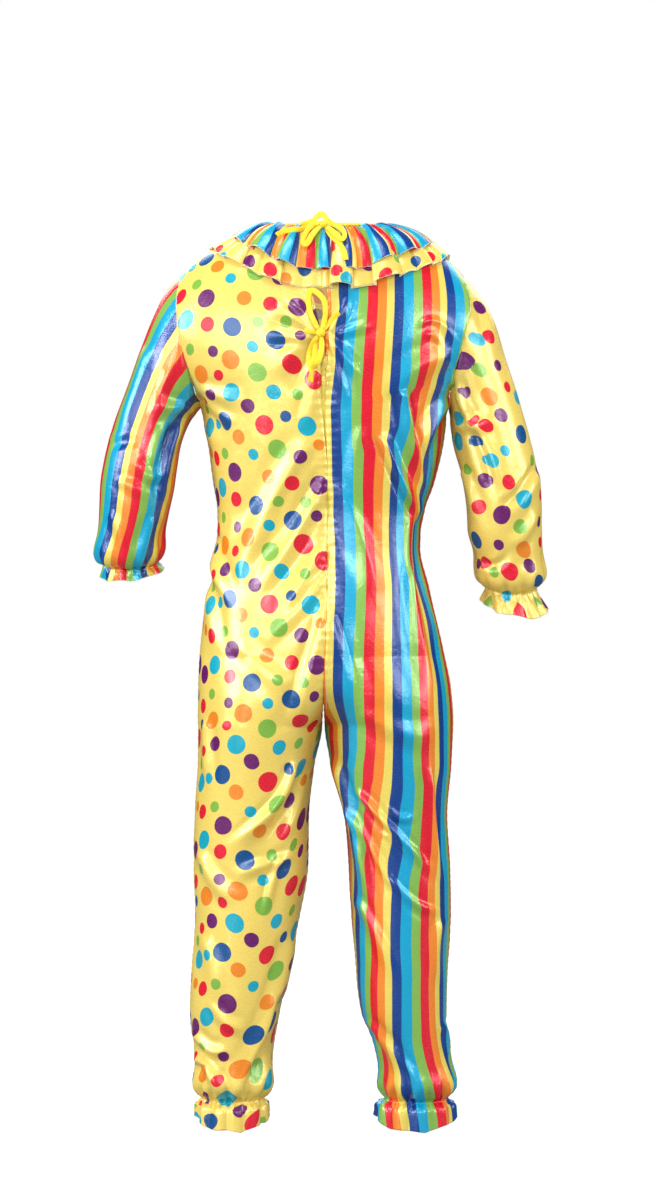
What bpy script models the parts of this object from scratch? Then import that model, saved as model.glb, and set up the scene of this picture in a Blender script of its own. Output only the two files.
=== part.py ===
"""Clown jumpsuit in the shape it is worn in, hollow, with nobody inside.

Metres, +Z up, +X to the wearer's right, +Y to the wearer's front. The origin is in the middle of the
neck opening, 7 mm below the neckline at the centre back. `down` is a height below the origin.

Every cloth piece is a wall made on the same figure: BODY gives the outline and the depth of the trunk
and legs at each height, SLEEVES gives each ring of a sleeve, and the collar lies on the shoulders.
"""

import math
from bisect import bisect_right

import bmesh
import bpy
from mathutils import Vector

CLOTH = 0.0016  # thickness of a cloth wall
SEAM_GAP = 0.0003  # clear space between two pieces sewn to each other
STEP = 1e-4  # the step that slopes are measured over

NECK_TOP = -0.012  # the neckline at the shoulder seam
NECK_DIP = {"back": 0.005, "front": 0.077}  # how much lower it is at the centre
DIP_ENDS = 0.160
ARM_TOP, ARM_BOTTOM = 0.073, 0.297  # shoulder point and underarm
CROTCH, CROTCH_RISE = 0.830, 0.115  # the seat seam turns forward over its last stretch
HEM = 1.516

PANEL_COLUMNS = 9
SLEEVE_COLUMNS = 18
ROWS_ABOVE_ARM = (NECK_TOP, 0.008, 0.036)
ROWS_BELOW_ARM = (
    *(0.350, 0.420, 0.500, 0.600, 0.690),
    *(0.760, 0.800, CROTCH),
    *(0.885, 0.975, 1.080, 1.200, 1.320, 1.405),
    *(1.440, 1.467, 1.490, HEM),
)
COLLAR_PLEATS = 24
COLLAR_ENDS_X = 0.004  # where the collar's two ends meet, right of the centre
COLLAR_END_GAP = 0.002

TAPE_HALF_WIDTH = 0.0038
TAPE_BUNCHED = 0.6  # share of its width that a tape has where it enters a knot
TAPE_CLOTH = 0.0015
TAPE_STEP = 0.008


class Table:
    """Sizes in named columns. A column is read at any place between the rows, on a smooth curve."""

    def __init__(self, names, rows):
        self.places = [row[0] for row in rows]
        self.values = {name: [row[i] for row in rows] for i, name in enumerate(names.split())}

    def at(self, name, place):
        xs, ys = self.places, self.values[name]
        place = min(max(place, xs[0]), xs[-1])
        i = min(bisect_right(xs, place), len(xs) - 1) - 1
        width = xs[i + 1] - xs[i]
        t = (place - xs[i]) / width
        rise, before, after = ys[i + 1] - ys[i], self.slope(xs, ys, i), self.slope(xs, ys, i + 1)
        return (
            ys[i]
            + rise * (3 - 2 * t) * t * t
            + width * t * (1 - t) * (before * (1 - t) - after * t)
        )

    @staticmethod
    def slope(xs, ys, i):
        """The slope at a row. It is flat where the column turns back, so that nothing overshoots."""
        if i in (0, len(xs) - 1):
            j = min(i, len(xs) - 2)
            return (ys[j + 1] - ys[j]) / (xs[j + 1] - xs[j])
        a = (ys[i] - ys[i - 1]) / (xs[i] - xs[i - 1])
        b = (ys[i + 1] - ys[i]) / (xs[i + 1] - xs[i])
        return 0.0 if a * b <= 0 else 2 * a * b / (a + b)


# left and right: the side seam from the centre. left_in and right_in: the inseam. back and front:
# the depth behind and before the side seam. square: 2 is an ellipse, more is boxier.
BODY = Table(
    "down left right left_in right_in back front square gather",
    (
        (-0.012, 0.088, 0.088, 0.000, 0.000, 0.070, 0.056, 2.0, 0),
        (0.000, 0.118, 0.116, 0.000, 0.000, 0.078, 0.064, 2.0, 0),
        (0.020, 0.172, 0.166, 0.000, 0.000, 0.092, 0.076, 2.1, 0),
        (0.045, 0.222, 0.214, 0.000, 0.000, 0.104, 0.088, 2.2, 0),
        (0.073, 0.250, 0.247, 0.000, 0.000, 0.115, 0.099, 2.3, 0),
        (0.110, 0.276, 0.270, 0.000, 0.000, 0.124, 0.110, 2.3, 0),
        (0.160, 0.292, 0.280, 0.000, 0.000, 0.133, 0.121, 2.3, 0),
        (0.220, 0.266, 0.250, 0.000, 0.000, 0.137, 0.128, 2.3, 0),
        (0.297, 0.216, 0.204, 0.000, 0.000, 0.134, 0.131, 2.3, 0),
        (0.350, 0.203, 0.196, 0.000, 0.000, 0.129, 0.132, 2.3, 0),
        (0.420, 0.193, 0.180, 0.000, 0.000, 0.121, 0.133, 2.3, 0),
        (0.480, 0.186, 0.162, 0.000, 0.000, 0.116, 0.134, 2.3, 0),
        (0.530, 0.190, 0.159, 0.000, 0.000, 0.117, 0.134, 2.3, 0),
        (0.600, 0.199, 0.173, 0.000, 0.000, 0.126, 0.131, 2.3, 0),
        (0.700, 0.215, 0.194, 0.000, 0.000, 0.137, 0.123, 2.3, 0),
        (0.770, 0.219, 0.208, 0.000, 0.000, 0.137, 0.116, 2.2, 0),
        (0.830, 0.219, 0.212, 0.001, 0.001, 0.130, 0.109, 2.1, 0),
        (0.900, 0.220, 0.210, 0.017, 0.011, 0.121, 0.104, 2.1, 0),
        (0.985, 0.226, 0.202, 0.029, 0.027, 0.111, 0.099, 2.1, 0),
        (1.066, 0.227, 0.207, 0.032, 0.033, 0.104, 0.092, 2.1, 0),
        (1.150, 0.223, 0.209, 0.046, 0.039, 0.101, 0.083, 2.1, 0),
        (1.230, 0.228, 0.204, 0.063, 0.047, 0.097, 0.075, 2.1, 0),
        (1.310, 0.232, 0.201, 0.078, 0.056, 0.091, 0.067, 2.1, 0),
        (1.370, 0.227, 0.206, 0.090, 0.078, 0.083, 0.060, 2.0, 0.0005),
        (1.430, 0.2195, 0.2115, 0.101, 0.092, 0.073, 0.052, 2.0, 0.0015),
        (1.467, 0.2165, 0.2080, 0.1065, 0.0905, 0.064, 0.044, 2.0, 0.0025),
        (1.490, 0.2190, 0.2110, 0.1030, 0.0860, 0.068, 0.048, 2.0, 0.0050),
        (1.516, 0.2180, 0.2100, 0.1040, 0.0870, 0.070, 0.050, 2.0, 0.0070),
    ),
)

# How far the armhole seam is from the centre, from the shoulder point to the underarm.
ARMHOLE = Table(
    "down left right",
    (
        (0.073, 0.250, 0.247),
        (0.120, 0.2545, 0.245),
        (0.178, 0.250, 0.231),
        (0.240, 0.233, 0.214),
        (0.297, 0.216, 0.204),
    ),
)

# The two edges of the back opening, right of the centre, from the neck to where the seam begins.
OPENING = Table(
    "down left right",
    (
        (-0.012, -0.016, 0.010),
        (0.060, -0.024, 0.002),
        (0.103, -0.025, -0.001),
        (0.145, -0.018, -0.002),
        (0.168, -0.0128, -0.0062),
        (0.186, -0.0116, -0.0075),
        (0.209, -0.0096, -0.0040),
        (0.240, -0.0100, -0.0042),
        (0.285, -0.0088, -0.0050),
        (0.360, -0.0040, -0.0015),
        (0.400, 0.0000, 0.0000),
    ),
)

# The largest folds, each a ridge (or a furrow, where it is below zero) between two places. On the
# body a place is how far it is from the centre to the side seam (0 to 1), then the height; on a
# sleeve it is how far round, then the ring.
# Columns: across, down, across_end, down_end, half_width, height.
BODY_FOLDS = {
    ("left", "back"): (
        (0.14, 0.370, 0.66, 0.615, 0.050, 0.0065),
        (0.06, 0.560, 0.46, 0.690, 0.045, 0.0055),
        (0.40, 0.320, 0.88, 0.425, 0.040, 0.0055),
        (0.12, 0.985, 0.78, 1.120, 0.045, 0.0060),
        (0.30, 1.080, 0.85, 1.215, 0.040, -0.0050),
        (0.20, 1.250, 0.80, 1.190, 0.045, 0.0055),
        (0.25, 1.390, 0.75, 1.330, 0.040, 0.0050),
    ),
    ("right", "back"): (
        (0.86, 0.340, 0.58, 0.480, 0.042, 0.0065),
        (0.62, 0.430, 0.66, 0.570, 0.038, -0.0065),
        (0.12, 0.470, 0.44, 0.640, 0.045, 0.0050),
        (0.22, 0.930, 0.80, 1.130, 0.045, 0.0065),
        (0.20, 1.060, 0.70, 1.190, 0.040, -0.0050),
        (0.75, 1.250, 0.25, 1.330, 0.045, 0.0055),
        (0.30, 1.400, 0.80, 1.360, 0.040, 0.0050),
    ),
    ("left", "front"): (
        (0.75, 0.340, 0.30, 0.480, 0.045, 0.0060),
        (0.20, 0.700, 0.70, 0.640, 0.045, 0.0055),
        (0.20, 0.900, 0.75, 0.840, 0.045, 0.0055),
        (0.20, 1.120, 0.80, 1.160, 0.045, 0.0060),
        (0.25, 1.370, 0.80, 1.320, 0.040, 0.0055),
    ),
    ("right", "front"): (
        (0.70, 0.350, 0.25, 0.440, 0.045, 0.0055),
        (0.15, 0.660, 0.70, 0.600, 0.045, 0.0055),
        (0.20, 0.880, 0.75, 0.820, 0.045, 0.0055),
        (0.25, 1.150, 0.80, 1.110, 0.045, 0.0060),
        (0.25, 1.350, 0.75, 1.400, 0.040, 0.0055),
    ),
}
SLEEVE_FOLDS = {
    "left": (
        (0.46, 5.6, 0.20, 6.9, 0.030, 0.0060),
        (0.44, 7.0, 0.16, 7.9, 0.028, 0.0055),
        (0.70, 6.2, 0.92, 7.4, 0.030, 0.0050),
        (0.14, 2.0, 0.30, 3.6, 0.034, 0.0050),
    ),
    "right": (
        (0.44, 5.2, 0.18, 6.8, 0.034, 0.0065),
        (0.42, 6.9, 0.12, 7.8, 0.030, 0.0060),
        (0.72, 6.0, 0.92, 7.2, 0.030, 0.0050),
        (0.12, 1.8, 0.32, 3.4, 0.034, 0.0050),
    ),
}
FOLD_FADE = 0.14  # a body fold ends this far before each seam
BODY_GIRTH = 0.26  # a panel's width and a sleeve's girth and ring spacing, to measure folds with
SLEEVE_GIRTH, SLEEVE_RING = 0.44, 0.060

# Each ring of a sleeve: its outer and inner points, how far forward it is, half its depth, how much
# lower its back is than its sides, and the height of its gathers.
SLEEVE_NAMES = "ring outer outer_down inner inner_down forward depth fall gather"
SLEEVES = {
    "left": Table(
        SLEEVE_NAMES,
        (
            (0, 0.250, 0.073, 0.216, 0.297, 0.000, 0.077, 0.000, 0),
            (1, 0.272, 0.098, 0.221, 0.303, 0.000, 0.077, 0.000, 0),
            (2, 0.296, 0.145, 0.226, 0.310, -0.002, 0.074, 0.000, 0),
            (3, 0.318, 0.205, 0.232, 0.320, -0.004, 0.070, 0.000, 0),
            (4, 0.341, 0.268, 0.240, 0.338, -0.008, 0.067, 0.000, 0),
            (5, 0.361, 0.325, 0.248, 0.364, -0.012, 0.065, 0.001, 0),
            (6, 0.376, 0.380, 0.253, 0.395, -0.015, 0.064, 0.003, 0),
            (7, 0.383, 0.430, 0.258, 0.432, -0.012, 0.063, 0.006, 0),
            (8, 0.385, 0.480, 0.268, 0.478, -0.004, 0.062, 0.009, 0),
            (9, 0.387, 0.520, 0.279, 0.516, 0.006, 0.058, 0.012, 0.0005),
            (10, 0.386, 0.544, 0.2835, 0.540, 0.013, 0.053, 0.013, 0.0015),
            (11, 0.378, 0.558, 0.2870, 0.555, 0.018, 0.044, 0.013, 0.0022),
            (12, 0.380, 0.568, 0.2850, 0.561, 0.021, 0.047, 0.014, 0.0040),
            (13, 0.382, 0.580, 0.2810, 0.568, 0.024, 0.050, 0.014, 0.0055),
        ),
    ),
    "right": Table(
        SLEEVE_NAMES,
        (
            (0, 0.247, 0.073, 0.204, 0.297, 0.000, 0.077, 0.000, 0),
            (1, 0.266, 0.106, 0.2075, 0.310, 0.000, 0.077, 0.000, 0),
            (2, 0.284, 0.155, 0.2085, 0.325, -0.002, 0.075, 0.000, 0),
            (3, 0.300, 0.210, 0.2105, 0.343, -0.004, 0.072, 0.000, 0),
            (4, 0.318, 0.270, 0.2150, 0.365, -0.008, 0.070, 0.000, 0),
            (5, 0.337, 0.330, 0.2230, 0.392, -0.012, 0.068, 0.001, 0),
            (6, 0.352, 0.385, 0.2315, 0.420, -0.015, 0.067, 0.003, 0),
            (7, 0.3615, 0.435, 0.2345, 0.455, -0.012, 0.066, 0.006, 0),
            (8, 0.363, 0.490, 0.2360, 0.500, -0.004, 0.065, 0.009, 0),
            (9, 0.3635, 0.540, 0.2475, 0.540, 0.006, 0.060, 0.012, 0.0005),
            (10, 0.362, 0.575, 0.2580, 0.577, 0.013, 0.054, 0.013, 0.0015),
            (11, 0.354, 0.600, 0.2690, 0.596, 0.018, 0.044, 0.013, 0.0022),
            (12, 0.362, 0.620, 0.2670, 0.608, 0.021, 0.049, 0.016, 0.0045),
            (13, 0.372, 0.640, 0.2640, 0.621, 0.024, 0.054, 0.018, 0.0060),
        ),
    ),
}

# Each tier: how low its hem is at the back, over the shoulder and at the front, then how far it
# stands off the shoulders and the height of its pleats, both at the neck and at the hem.
COLLAR_TIERS = {
    "lower": dict(back=0.096, side=0.036, front=0.176, lift=(0.0034, 0.0100), pleat=(0.0002, 0.0060)),
    "upper": dict(back=0.064, side=0.018, front=0.144, lift=(0.0060, 0.0240), pleat=(0.0002, 0.0070)),
}
BINDING_REACH = 0.006  # how far the neck binding covers the cloth below the neckline
BINDING_TOP = 0.0018
BINDING_CLOTH = 0.001
BINDING_OUTSIDE, BINDING_INSIDE = 0.0102, -0.0026

# The ties, seen from behind: each stretch of tape has the layer that it lies in, counted outwards
# from the cloth, then its points right of the centre and above the origin.
KNOTS = {
    "neck": dict(place=(-0.0068, 0.0051), half=(0.0080, 0.0075, 0.0070), rests=0.0085),
    "back": dict(place=(-0.0113, -0.1790), half=(0.0085, 0.0065, 0.0085), rests=0.0069),
}
BOWS = {
    "neck": {
        "neck_crossing": (
            *(0, (-0.0426, 0.0100), (-0.0270, 0.0200), (-0.0118, 0.0280)),
            *((-0.0017, 0.0255), (0.0050, 0.0169), (0.0140, 0.0070)),
        ),
        "neck_tail_left": (
            *(0, (-0.0068, 0.0051), (-0.0270, -0.0045), (-0.0456, -0.0045)),
            *((-0.0640, -0.0048), (-0.0810, -0.0118), (-0.0853, -0.0169)),
        ),
        "neck_tail_right": (
            *(0, (-0.0068, 0.0051), (0.0040, -0.0140), (0.0176, -0.0300)),
            *((0.0270, -0.0430), (0.0320, -0.0575)),
        ),
        "neck_loop_left": (
            *(2, (-0.0068, 0.0051), (-0.0220, 0.0100), (-0.0350, 0.0055)),
            *((-0.0445, -0.0080), (-0.0465, -0.0220), (-0.0400, -0.0315)),
            *((-0.0310, -0.0265), (-0.0235, -0.0100), (-0.0068, 0.0051)),
        ),
        "neck_loop_right": (
            *(2, (-0.0068, 0.0051), (0.0050, 0.0055), (0.0186, 0.0035)),
            *((0.0270, -0.0055), (0.0260, -0.0155), (0.0178, -0.0215)),
            *((0.0088, -0.0165), (0.0000, -0.0060), (-0.0068, 0.0051)),
        ),
    },
    "back": {
        "back_strand_left": (0, (-0.0113, -0.1790), (-0.0254, -0.1775), (-0.0372, -0.1741)),
        "back_strand_right": (
            *(0, (-0.0113, -0.1790), (0.0000, -0.1656)),
            *((0.0085, -0.1563), (0.0186, -0.1453)),
        ),
        "back_tail": (
            *(0, (-0.0113, -0.1790), (-0.0186, -0.1977)),
            *((-0.0220, -0.2214), (-0.0254, -0.2417), (-0.0287, -0.2603)),
        ),
        "back_loop_upper": (
            *(1, (-0.0113, -0.1790), (-0.0203, -0.1639), (-0.0287, -0.1437)),
            *((-0.0321, -0.1200), (-0.0270, -0.1082), (-0.0152, -0.1132)),
            *((-0.0051, -0.1268), (-0.0034, -0.1470), (-0.0068, -0.1656), (-0.0113, -0.1790)),
        ),
        "back_loop_lower": (
            *(1, (-0.0113, -0.1790), (-0.0237, -0.1927), (-0.0338, -0.2079)),
            *((-0.0358, -0.2265), (-0.0296, -0.2374), (-0.0169, -0.2315)),
            *((-0.0093, -0.2129), (-0.0085, -0.1944), (-0.0113, -0.1790)),
        ),
    },
}
TAPE_CLEAR = 0.0009  # between a tape and the cloth that it lies on
LAYER_STEP = 0.0049  # between two layers of a bow
KNOT_CLEAR = 1.06  # how far out a tape ends at its knot, as a share of the knot's own size
SURFACE_REACH = 0.004  # a tape clears whatever is this near it, seen from behind

YELLOW, STRIPE_BLUE = (0.93, 0.72, 0.10), (0.05, 0.30, 0.62)
TAPE_YELLOW = (0.95, 0.70, 0.02)


def finish(name, colour, roughness):
    """A Principled material in the cloth's own colour."""
    made = bpy.data.materials.new(name)
    made.use_nodes = True
    shader = made.node_tree.nodes["Principled BSDF"]
    shader.inputs["Base Color"].default_value = (*colour, 1.0)
    shader.inputs["Roughness"].default_value = roughness
    shader.inputs["Metallic"].default_value = 0.0
    return made


def eased(t):
    t = min(max(t, 0.0), 1.0)
    return t * t * (3 - 2 * t)


def signed_power(value, power):
    return math.copysign(abs(value) ** power, value)


def mix(a, b, share):
    return a + (b - a) * share


def right_of(side):
    return 1.0 if side == "right" else -1.0


def behind(face):
    return -1.0 if face == "back" else 1.0


def figure_depth(side, face, x, down):
    """How far the figure's surface is from the side seam, x to the side and that far down."""
    square = BODY.at("square", down)
    share = min(abs(x) / BODY.at(side, down), 1.0)
    return BODY.at(face, down) * (1 - share**square) ** (1 / square)


def neck_dip(face, down, x_share):
    """How much lower than at the shoulder seam a row is, x_share of the way out from the centre."""
    fade = 1 - eased((down - NECK_TOP) / (DIP_ENDS - NECK_TOP))
    return NECK_DIP[face] * fade * (1 - x_share * x_share)


def fold_height(folds, place, scale):
    """How far folds move the cloth outwards at a place, given the size of a unit each way."""
    here = Vector((place[0] * scale[0], place[1] * scale[1]))
    total = 0.0
    for across, down, across_end, down_end, half_width, height in folds:
        start = Vector((across * scale[0], down * scale[1]))
        along = Vector((across_end * scale[0], down_end * scale[1])) - start
        share = (here - start).dot(along) / along.length_squared
        nearest = start + along * min(max(share, 0.0), 1.0)
        total += height * eased(1 - (here - nearest).length / half_width)
    return total


def gather_wave(s, columns):
    """Gathers: a crest at each even column and a trough at each odd one."""
    return math.cos(math.pi * s * columns)


def body_point(side, face, s, down):
    """A point of a body panel: s runs from the centre seam, or the inseam, to the side seam."""
    square = BODY.at("square", down)
    outer, inner = BODY.at(side, down), BODY.at(side + "_in", down)
    if face == "back" and down < OPENING.places[-1]:
        inner = right_of(side) * OPENING.at(side, down)
    turned = min(max((down - CROTCH + CROTCH_RISE) / CROTCH_RISE, 0.0), 1.0)
    reach = (outer - inner) / (1 + turned)
    centre = outer - reach
    first = -math.asin(turned ** (square / 2))
    last = math.pi / 2
    if ARM_TOP < down < ARM_BOTTOM:
        armhole = min((ARMHOLE.at(side, down) - centre) / reach, 1.0)
        last = math.asin(armhole ** (square / 2))
    angle = mix(first, last, s)
    x = centre + reach * signed_power(math.sin(angle), 2 / square)
    if down < DIP_ENDS:
        down += neck_dip(face, down, x / outer)
        y = figure_depth(side, face, x, down)
    else:
        y = BODY.at(face, down) * max(math.cos(angle), 0.0) ** (2 / square)
    off = BODY.at("gather", down) * gather_wave(s, PANEL_COLUMNS)
    fade = eased(s / FOLD_FADE) * eased((1 - s) / FOLD_FADE)
    off += fade * fold_height(BODY_FOLDS[side, face], (s, down), (BODY_GIRTH, 1.0))
    x += off * math.sin(angle)
    y += off * math.cos(angle)
    return Vector((right_of(side) * x, behind(face) * y, -down))


def armhole_down(angle):
    """The height in the armhole: 0 is the shoulder point and a half turn the underarm."""
    return mix(ARM_TOP, ARM_BOTTOM, (1 - math.cos(angle)) / 2)


def armhole_point(side, angle):
    """A point of the armhole's edge on the body, round over the back first."""
    return body_point(side, "back" if math.sin(angle) >= 0 else "front", 1.0, armhole_down(angle))


def panel_rows():
    """The heights of a body panel's rows: in the armhole, one for each column of the sleeve."""
    steps = SLEEVE_COLUMNS // 2
    in_arm = [armhole_down(math.pi * step / steps) for step in range(steps + 1)]
    return [*ROWS_ABOVE_ARM, *in_arm, *ROWS_BELOW_ARM]


def sleeve_point(side, turn, ring):
    """A point of a sleeve: turn goes round from the shoulder point, ring counts from the armhole."""
    angle = turn * math.tau
    at = {name: SLEEVES[side].at(name, ring) for name in SLEEVE_NAMES.split()[1:]}
    pleat = at["gather"] * gather_wave(turn, SLEEVE_COLUMNS)
    pleat += fold_height(SLEEVE_FOLDS[side], (turn, ring), (SLEEVE_GIRTH, SLEEVE_RING))
    out = (1 + math.cos(angle)) / 2
    span = Vector((at["outer"] - at["inner"], 0, at["inner_down"] - at["outer_down"]))
    centre = Vector((mix(at["inner"], at["outer"], 0.5), 0, -mix(at["inner_down"], at["outer_down"], 0.5)))
    point = centre + span * (out - 0.5) + span.normalized() * pleat * math.cos(angle)
    point.y = at["forward"] - (at["depth"] + pleat) * math.sin(angle)
    point.z -= at["fall"] * math.sin(angle)
    point.x *= right_of(side)
    # The sleeve's first ring is the armhole, moved out of the way of the body's wall.
    hole = armhole_point(side, angle)
    clear = SEAM_GAP * 2 + CLOTH * 0.75 * (1 - math.cos(angle)) / 2
    hole += Vector((right_of(side) * clear, 0, 0))
    return hole.lerp(point, eased(ring / 1.5))


def collar_base(turn, tier, share):
    """A point of the shoulders under the collar: turn goes round from the centre back, over the
    right shoulder, and share from the neckline to the hem."""
    angle = turn * math.tau
    side = "right" if turn < 0.5 else "left"
    face = "back" if math.cos(angle) >= 0 else "front"
    sizes = COLLAR_TIERS[tier]
    out = abs(math.sin(angle))
    seam_down = mix(NECK_TOP, sizes["side"], share)
    x = out * BODY.at(side, seam_down)
    neck = NECK_TOP + NECK_DIP[face] * (1 - out * out)
    hem = mix(sizes[face], sizes["side"], out * out)
    down = mix(neck, hem, share)
    return Vector((right_of(side) * x, behind(face) * figure_depth(side, face, x, down), -down))


def outward(point, a, b, wrap=False, limits=(0.0, 1.0)):
    """The surface's normal at (a, b), measured over a small step each way, pointing off the figure."""
    low_a, high_a = a - STEP, a + STEP
    if not wrap:
        low_a, high_a = max(low_a, 0.0), min(high_a, 1.0)
    low_b, high_b = max(b - STEP, limits[0]), min(b + STEP, limits[1])
    along = point(high_a, b) - point(low_a, b)
    down = point(a, high_b) - point(a, low_b)
    return along.cross(down).normalized()


def off_shoulders(turn, tier, share):
    """The direction away from the shoulders under the collar."""
    off = outward(lambda a, b: collar_base(a, tier, b), turn, share, wrap=True)
    face = "back" if math.cos(turn * math.tau) >= 0 else "front"
    return off if off.z + off.y * behind(face) >= 0 else -off


def collar_point(turn, tier, share, crest=None):
    """A point of a collar tier: the base, lifted off it, with pleats that open towards the hem.
    crest is where it is between a pleat's trough, -1, and its crest, 1, if not where it falls."""
    sizes = COLLAR_TIERS[tier]
    lift = mix(*sizes["lift"], share**1.4)
    if crest is None:
        crest = math.cos(math.tau * COLLAR_PLEATS * turn)
    lift += mix(*sizes["pleat"], share) * crest
    return collar_base(turn, tier, share) + off_shoulders(turn, tier, share) * lift


def binding_point(turn, corner):
    """A point of the neck binding: an upside-down U over the neckline's edge, corner by corner."""
    edge = collar_base(turn, "upper", 0.0)
    below = collar_base(turn, "upper", 0.12)
    downwards = (below - edge).normalized()
    reach, out = (
        (BINDING_REACH, BINDING_OUTSIDE),
        (-BINDING_TOP, BINDING_OUTSIDE),
        (-BINDING_TOP, BINDING_INSIDE),
        (BINDING_REACH, BINDING_INSIDE),
    )[corner]
    return edge + downwards * reach + off_shoulders(turn, "upper", 0.02) * out


def add_object(name, vertices, faces, material, group):
    mesh = bpy.data.meshes.new(name)
    mesh.from_pydata([tuple(v) for v in vertices], [], faces)
    mesh.materials.append(material)
    mesh.shade_smooth()
    mesh.set_sharp_from_angle(angle=math.radians(35))
    made = bpy.data.objects.new(name, mesh)
    group.objects.link(made)
    return made


def add_wall(name, middle, normals, thickness, material, group, closed=False, kept=None, turned=False):
    """A wall on a grid of points: rows of `middle`, with the wall's half thickness each way along
    `normals`. A closed wall's rows join end to start. `kept` moves a corner to where it may be, and
    `turned` is for a grid that runs the other way round, seen from where the normals point."""
    rows, columns = len(middle), len(middle[0])
    vertices = []
    for half in (0.5, -0.5):
        for points, offs in zip(middle, normals):
            for point, off in zip(points, offs):
                corner = point + off * thickness * half
                vertices.append(kept(corner) if kept else corner)

    def index(layer, row, column):
        return (layer * rows + row) * columns + column % columns

    faces = []
    spans = columns if closed else columns - 1
    for row in range(rows - 1):
        for column in range(spans):
            square = ((row, column), (row, column + 1), (row + 1, column + 1), (row + 1, column))
            faces.append([index(0, *corner) for corner in square])
            faces.append([index(1, *corner) for corner in (square[0], *square[:0:-1])])
    rim = [((0, c + 1), (0, c)) for c in range(spans)]
    rim += [((rows - 1, c), (rows - 1, c + 1)) for c in range(spans)]
    if not closed:
        rim += [((r, 0), (r + 1, 0)) for r in range(rows - 1)]
        rim += [((r + 1, columns - 1), (r, columns - 1)) for r in range(rows - 1)]
    for a, b in rim:
        faces.append([index(0, *a), index(0, *b), index(1, *b), index(1, *a)])
    if turned:
        faces = [[face[0], *face[:0:-1]] for face in faces]
    return add_object(name, vertices, faces, material, group)


def body_panel(side, face, material, group):
    """A front or back panel, in one piece from the neckline to the ankle's frill."""

    def point(s, down):
        return body_point(side, face, s, down)

    turn = right_of(side) * behind(face)
    middle, normals = [], []
    for down in panel_rows():
        # The armhole's edge starts and ends inside its rows, so these are measured next to it.
        beside = {ARM_TOP: ARM_TOP - STEP, ARM_BOTTOM: ARM_BOTTOM + STEP}.get(down, down)
        points, offs = [], []
        for column in range(PANEL_COLUMNS + 1):
            s = column / PANEL_COLUMNS
            place = point(s, down)
            off = outward(point, s, beside, limits=(NECK_TOP, HEM)) * turn
            inner, outer = point(max(s - STEP, 0), down), point(min(s + STEP, 1), down)
            if column == 0:
                place += (outer - inner).normalized() * SEAM_GAP / 2
            if column == PANEL_COLUMNS:
                place -= (outer - inner).normalized() * SEAM_GAP / 2
            points.append(place)
            offs.append(off)
        middle.append(points)
        normals.append(offs)

    def off_centre(corner):
        if face == "front" or -corner.z > OPENING.places[-1]:
            corner.x = right_of(side) * max(right_of(side) * corner.x, SEAM_GAP / 2)
        return corner

    return add_wall(
        *(f"{face}_{side}", middle, normals, CLOTH, material, group),
        kept=off_centre,
        turned=turn < 0,
    )


def sleeve(side, material, group):
    """A sleeve in one piece, from the armhole to the hem of its frill."""

    def point(turn, ring):
        return sleeve_point(side, turn, ring)

    rings = range(len(SLEEVES[side].places))
    turns = [column / SLEEVE_COLUMNS for column in range(SLEEVE_COLUMNS)]
    limits = (0, rings[-1])
    middle = [[point(turn, ring) for turn in turns] for ring in rings]
    normals = [
        [outward(point, turn, ring, wrap=True, limits=limits) * right_of(side) for turn in turns]
        for ring in rings
    ]
    return add_wall(
        *(f"sleeve_{side}", middle, normals, CLOTH, material, group),
        closed=True,
        turned=side == "left",
    )


def collar_turns():
    """Places round the neck, from the collar's right end over both shoulders to its left end."""
    start = COLLAR_ENDS_X / BODY.at("right", 0) / math.tau
    gap = COLLAR_END_GAP / BODY.at("right", 0) / math.tau
    columns = 2 * COLLAR_PLEATS
    return [start + gap / 2 + (1 - gap) * column / columns for column in range(columns + 1)]


def collar(tier, material, group):
    """A tier of the collar, gathered at the neck and open at the back."""

    def point(turn, share):
        return collar_point(turn % 1.0, tier, share)

    turns = collar_turns()
    shares = (0.0, 0.33, 0.66, 1.0)
    middle = [[point(turn, share) for turn in turns] for share in shares]
    normals = [[outward(point, turn, share, wrap=True) for turn in turns] for share in shares]
    return add_wall(f"collar_{tier}", middle, normals, CLOTH, material, group)


def neck_binding(material, group):
    """The folded tape that the neckline and both collar tiers are gathered into."""
    turns = collar_turns()[2:-2:2]
    columns = len(turns) - 1
    middle = [[binding_point(turn, corner) for turn in turns] for corner in range(4)]
    normals = []
    for corner in range(4):
        offs = []
        for column in range(columns + 1):
            across = middle[min(corner + 1, 3)][column] - middle[max(corner - 1, 0)][column]
            along = middle[corner][min(column + 1, columns)] - middle[corner][max(column - 1, 0)]
            offs.append(along.cross(across).normalized())
        normals.append(offs)
    return add_wall("neck_binding", middle, normals, BINDING_CLOTH, material, group)


def smooth_route(points, step):
    """Points about a step apart on the smooth curve through a route's own points."""
    ends = [points[0] * 2 - points[1], *points, points[-1] * 2 - points[-2]]
    fine = []
    for before, a, b, after in zip(ends, ends[1:], ends[2:], ends[3:]):
        pieces = max(1, round((b - a).length / step))
        for i in range(pieces):
            t = i / pieces
            fine.append(
                a
                + (b - before) * 0.5 * t
                + (before * 2 - a * 5 + b * 4 - after) * 0.5 * t * t
                + (a * 3 - before - b * 3 + after) * 0.5 * t**3
            )
    return [*fine, points[-1]]


def cloth_behind(x, z):
    """How far back the cloth's outer surface is, seen from behind at x and z."""
    side = "right" if x >= 0 else "left"
    down = max(-z, 0.0)
    y = -figure_depth(side, "back", x, down) - CLOTH / 2
    near = [p.y for p in RUFFLE_POINTS if abs(p.x - x) < SURFACE_REACH and abs(p.z - z) < SURFACE_REACH]
    return min([y, *near])


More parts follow.
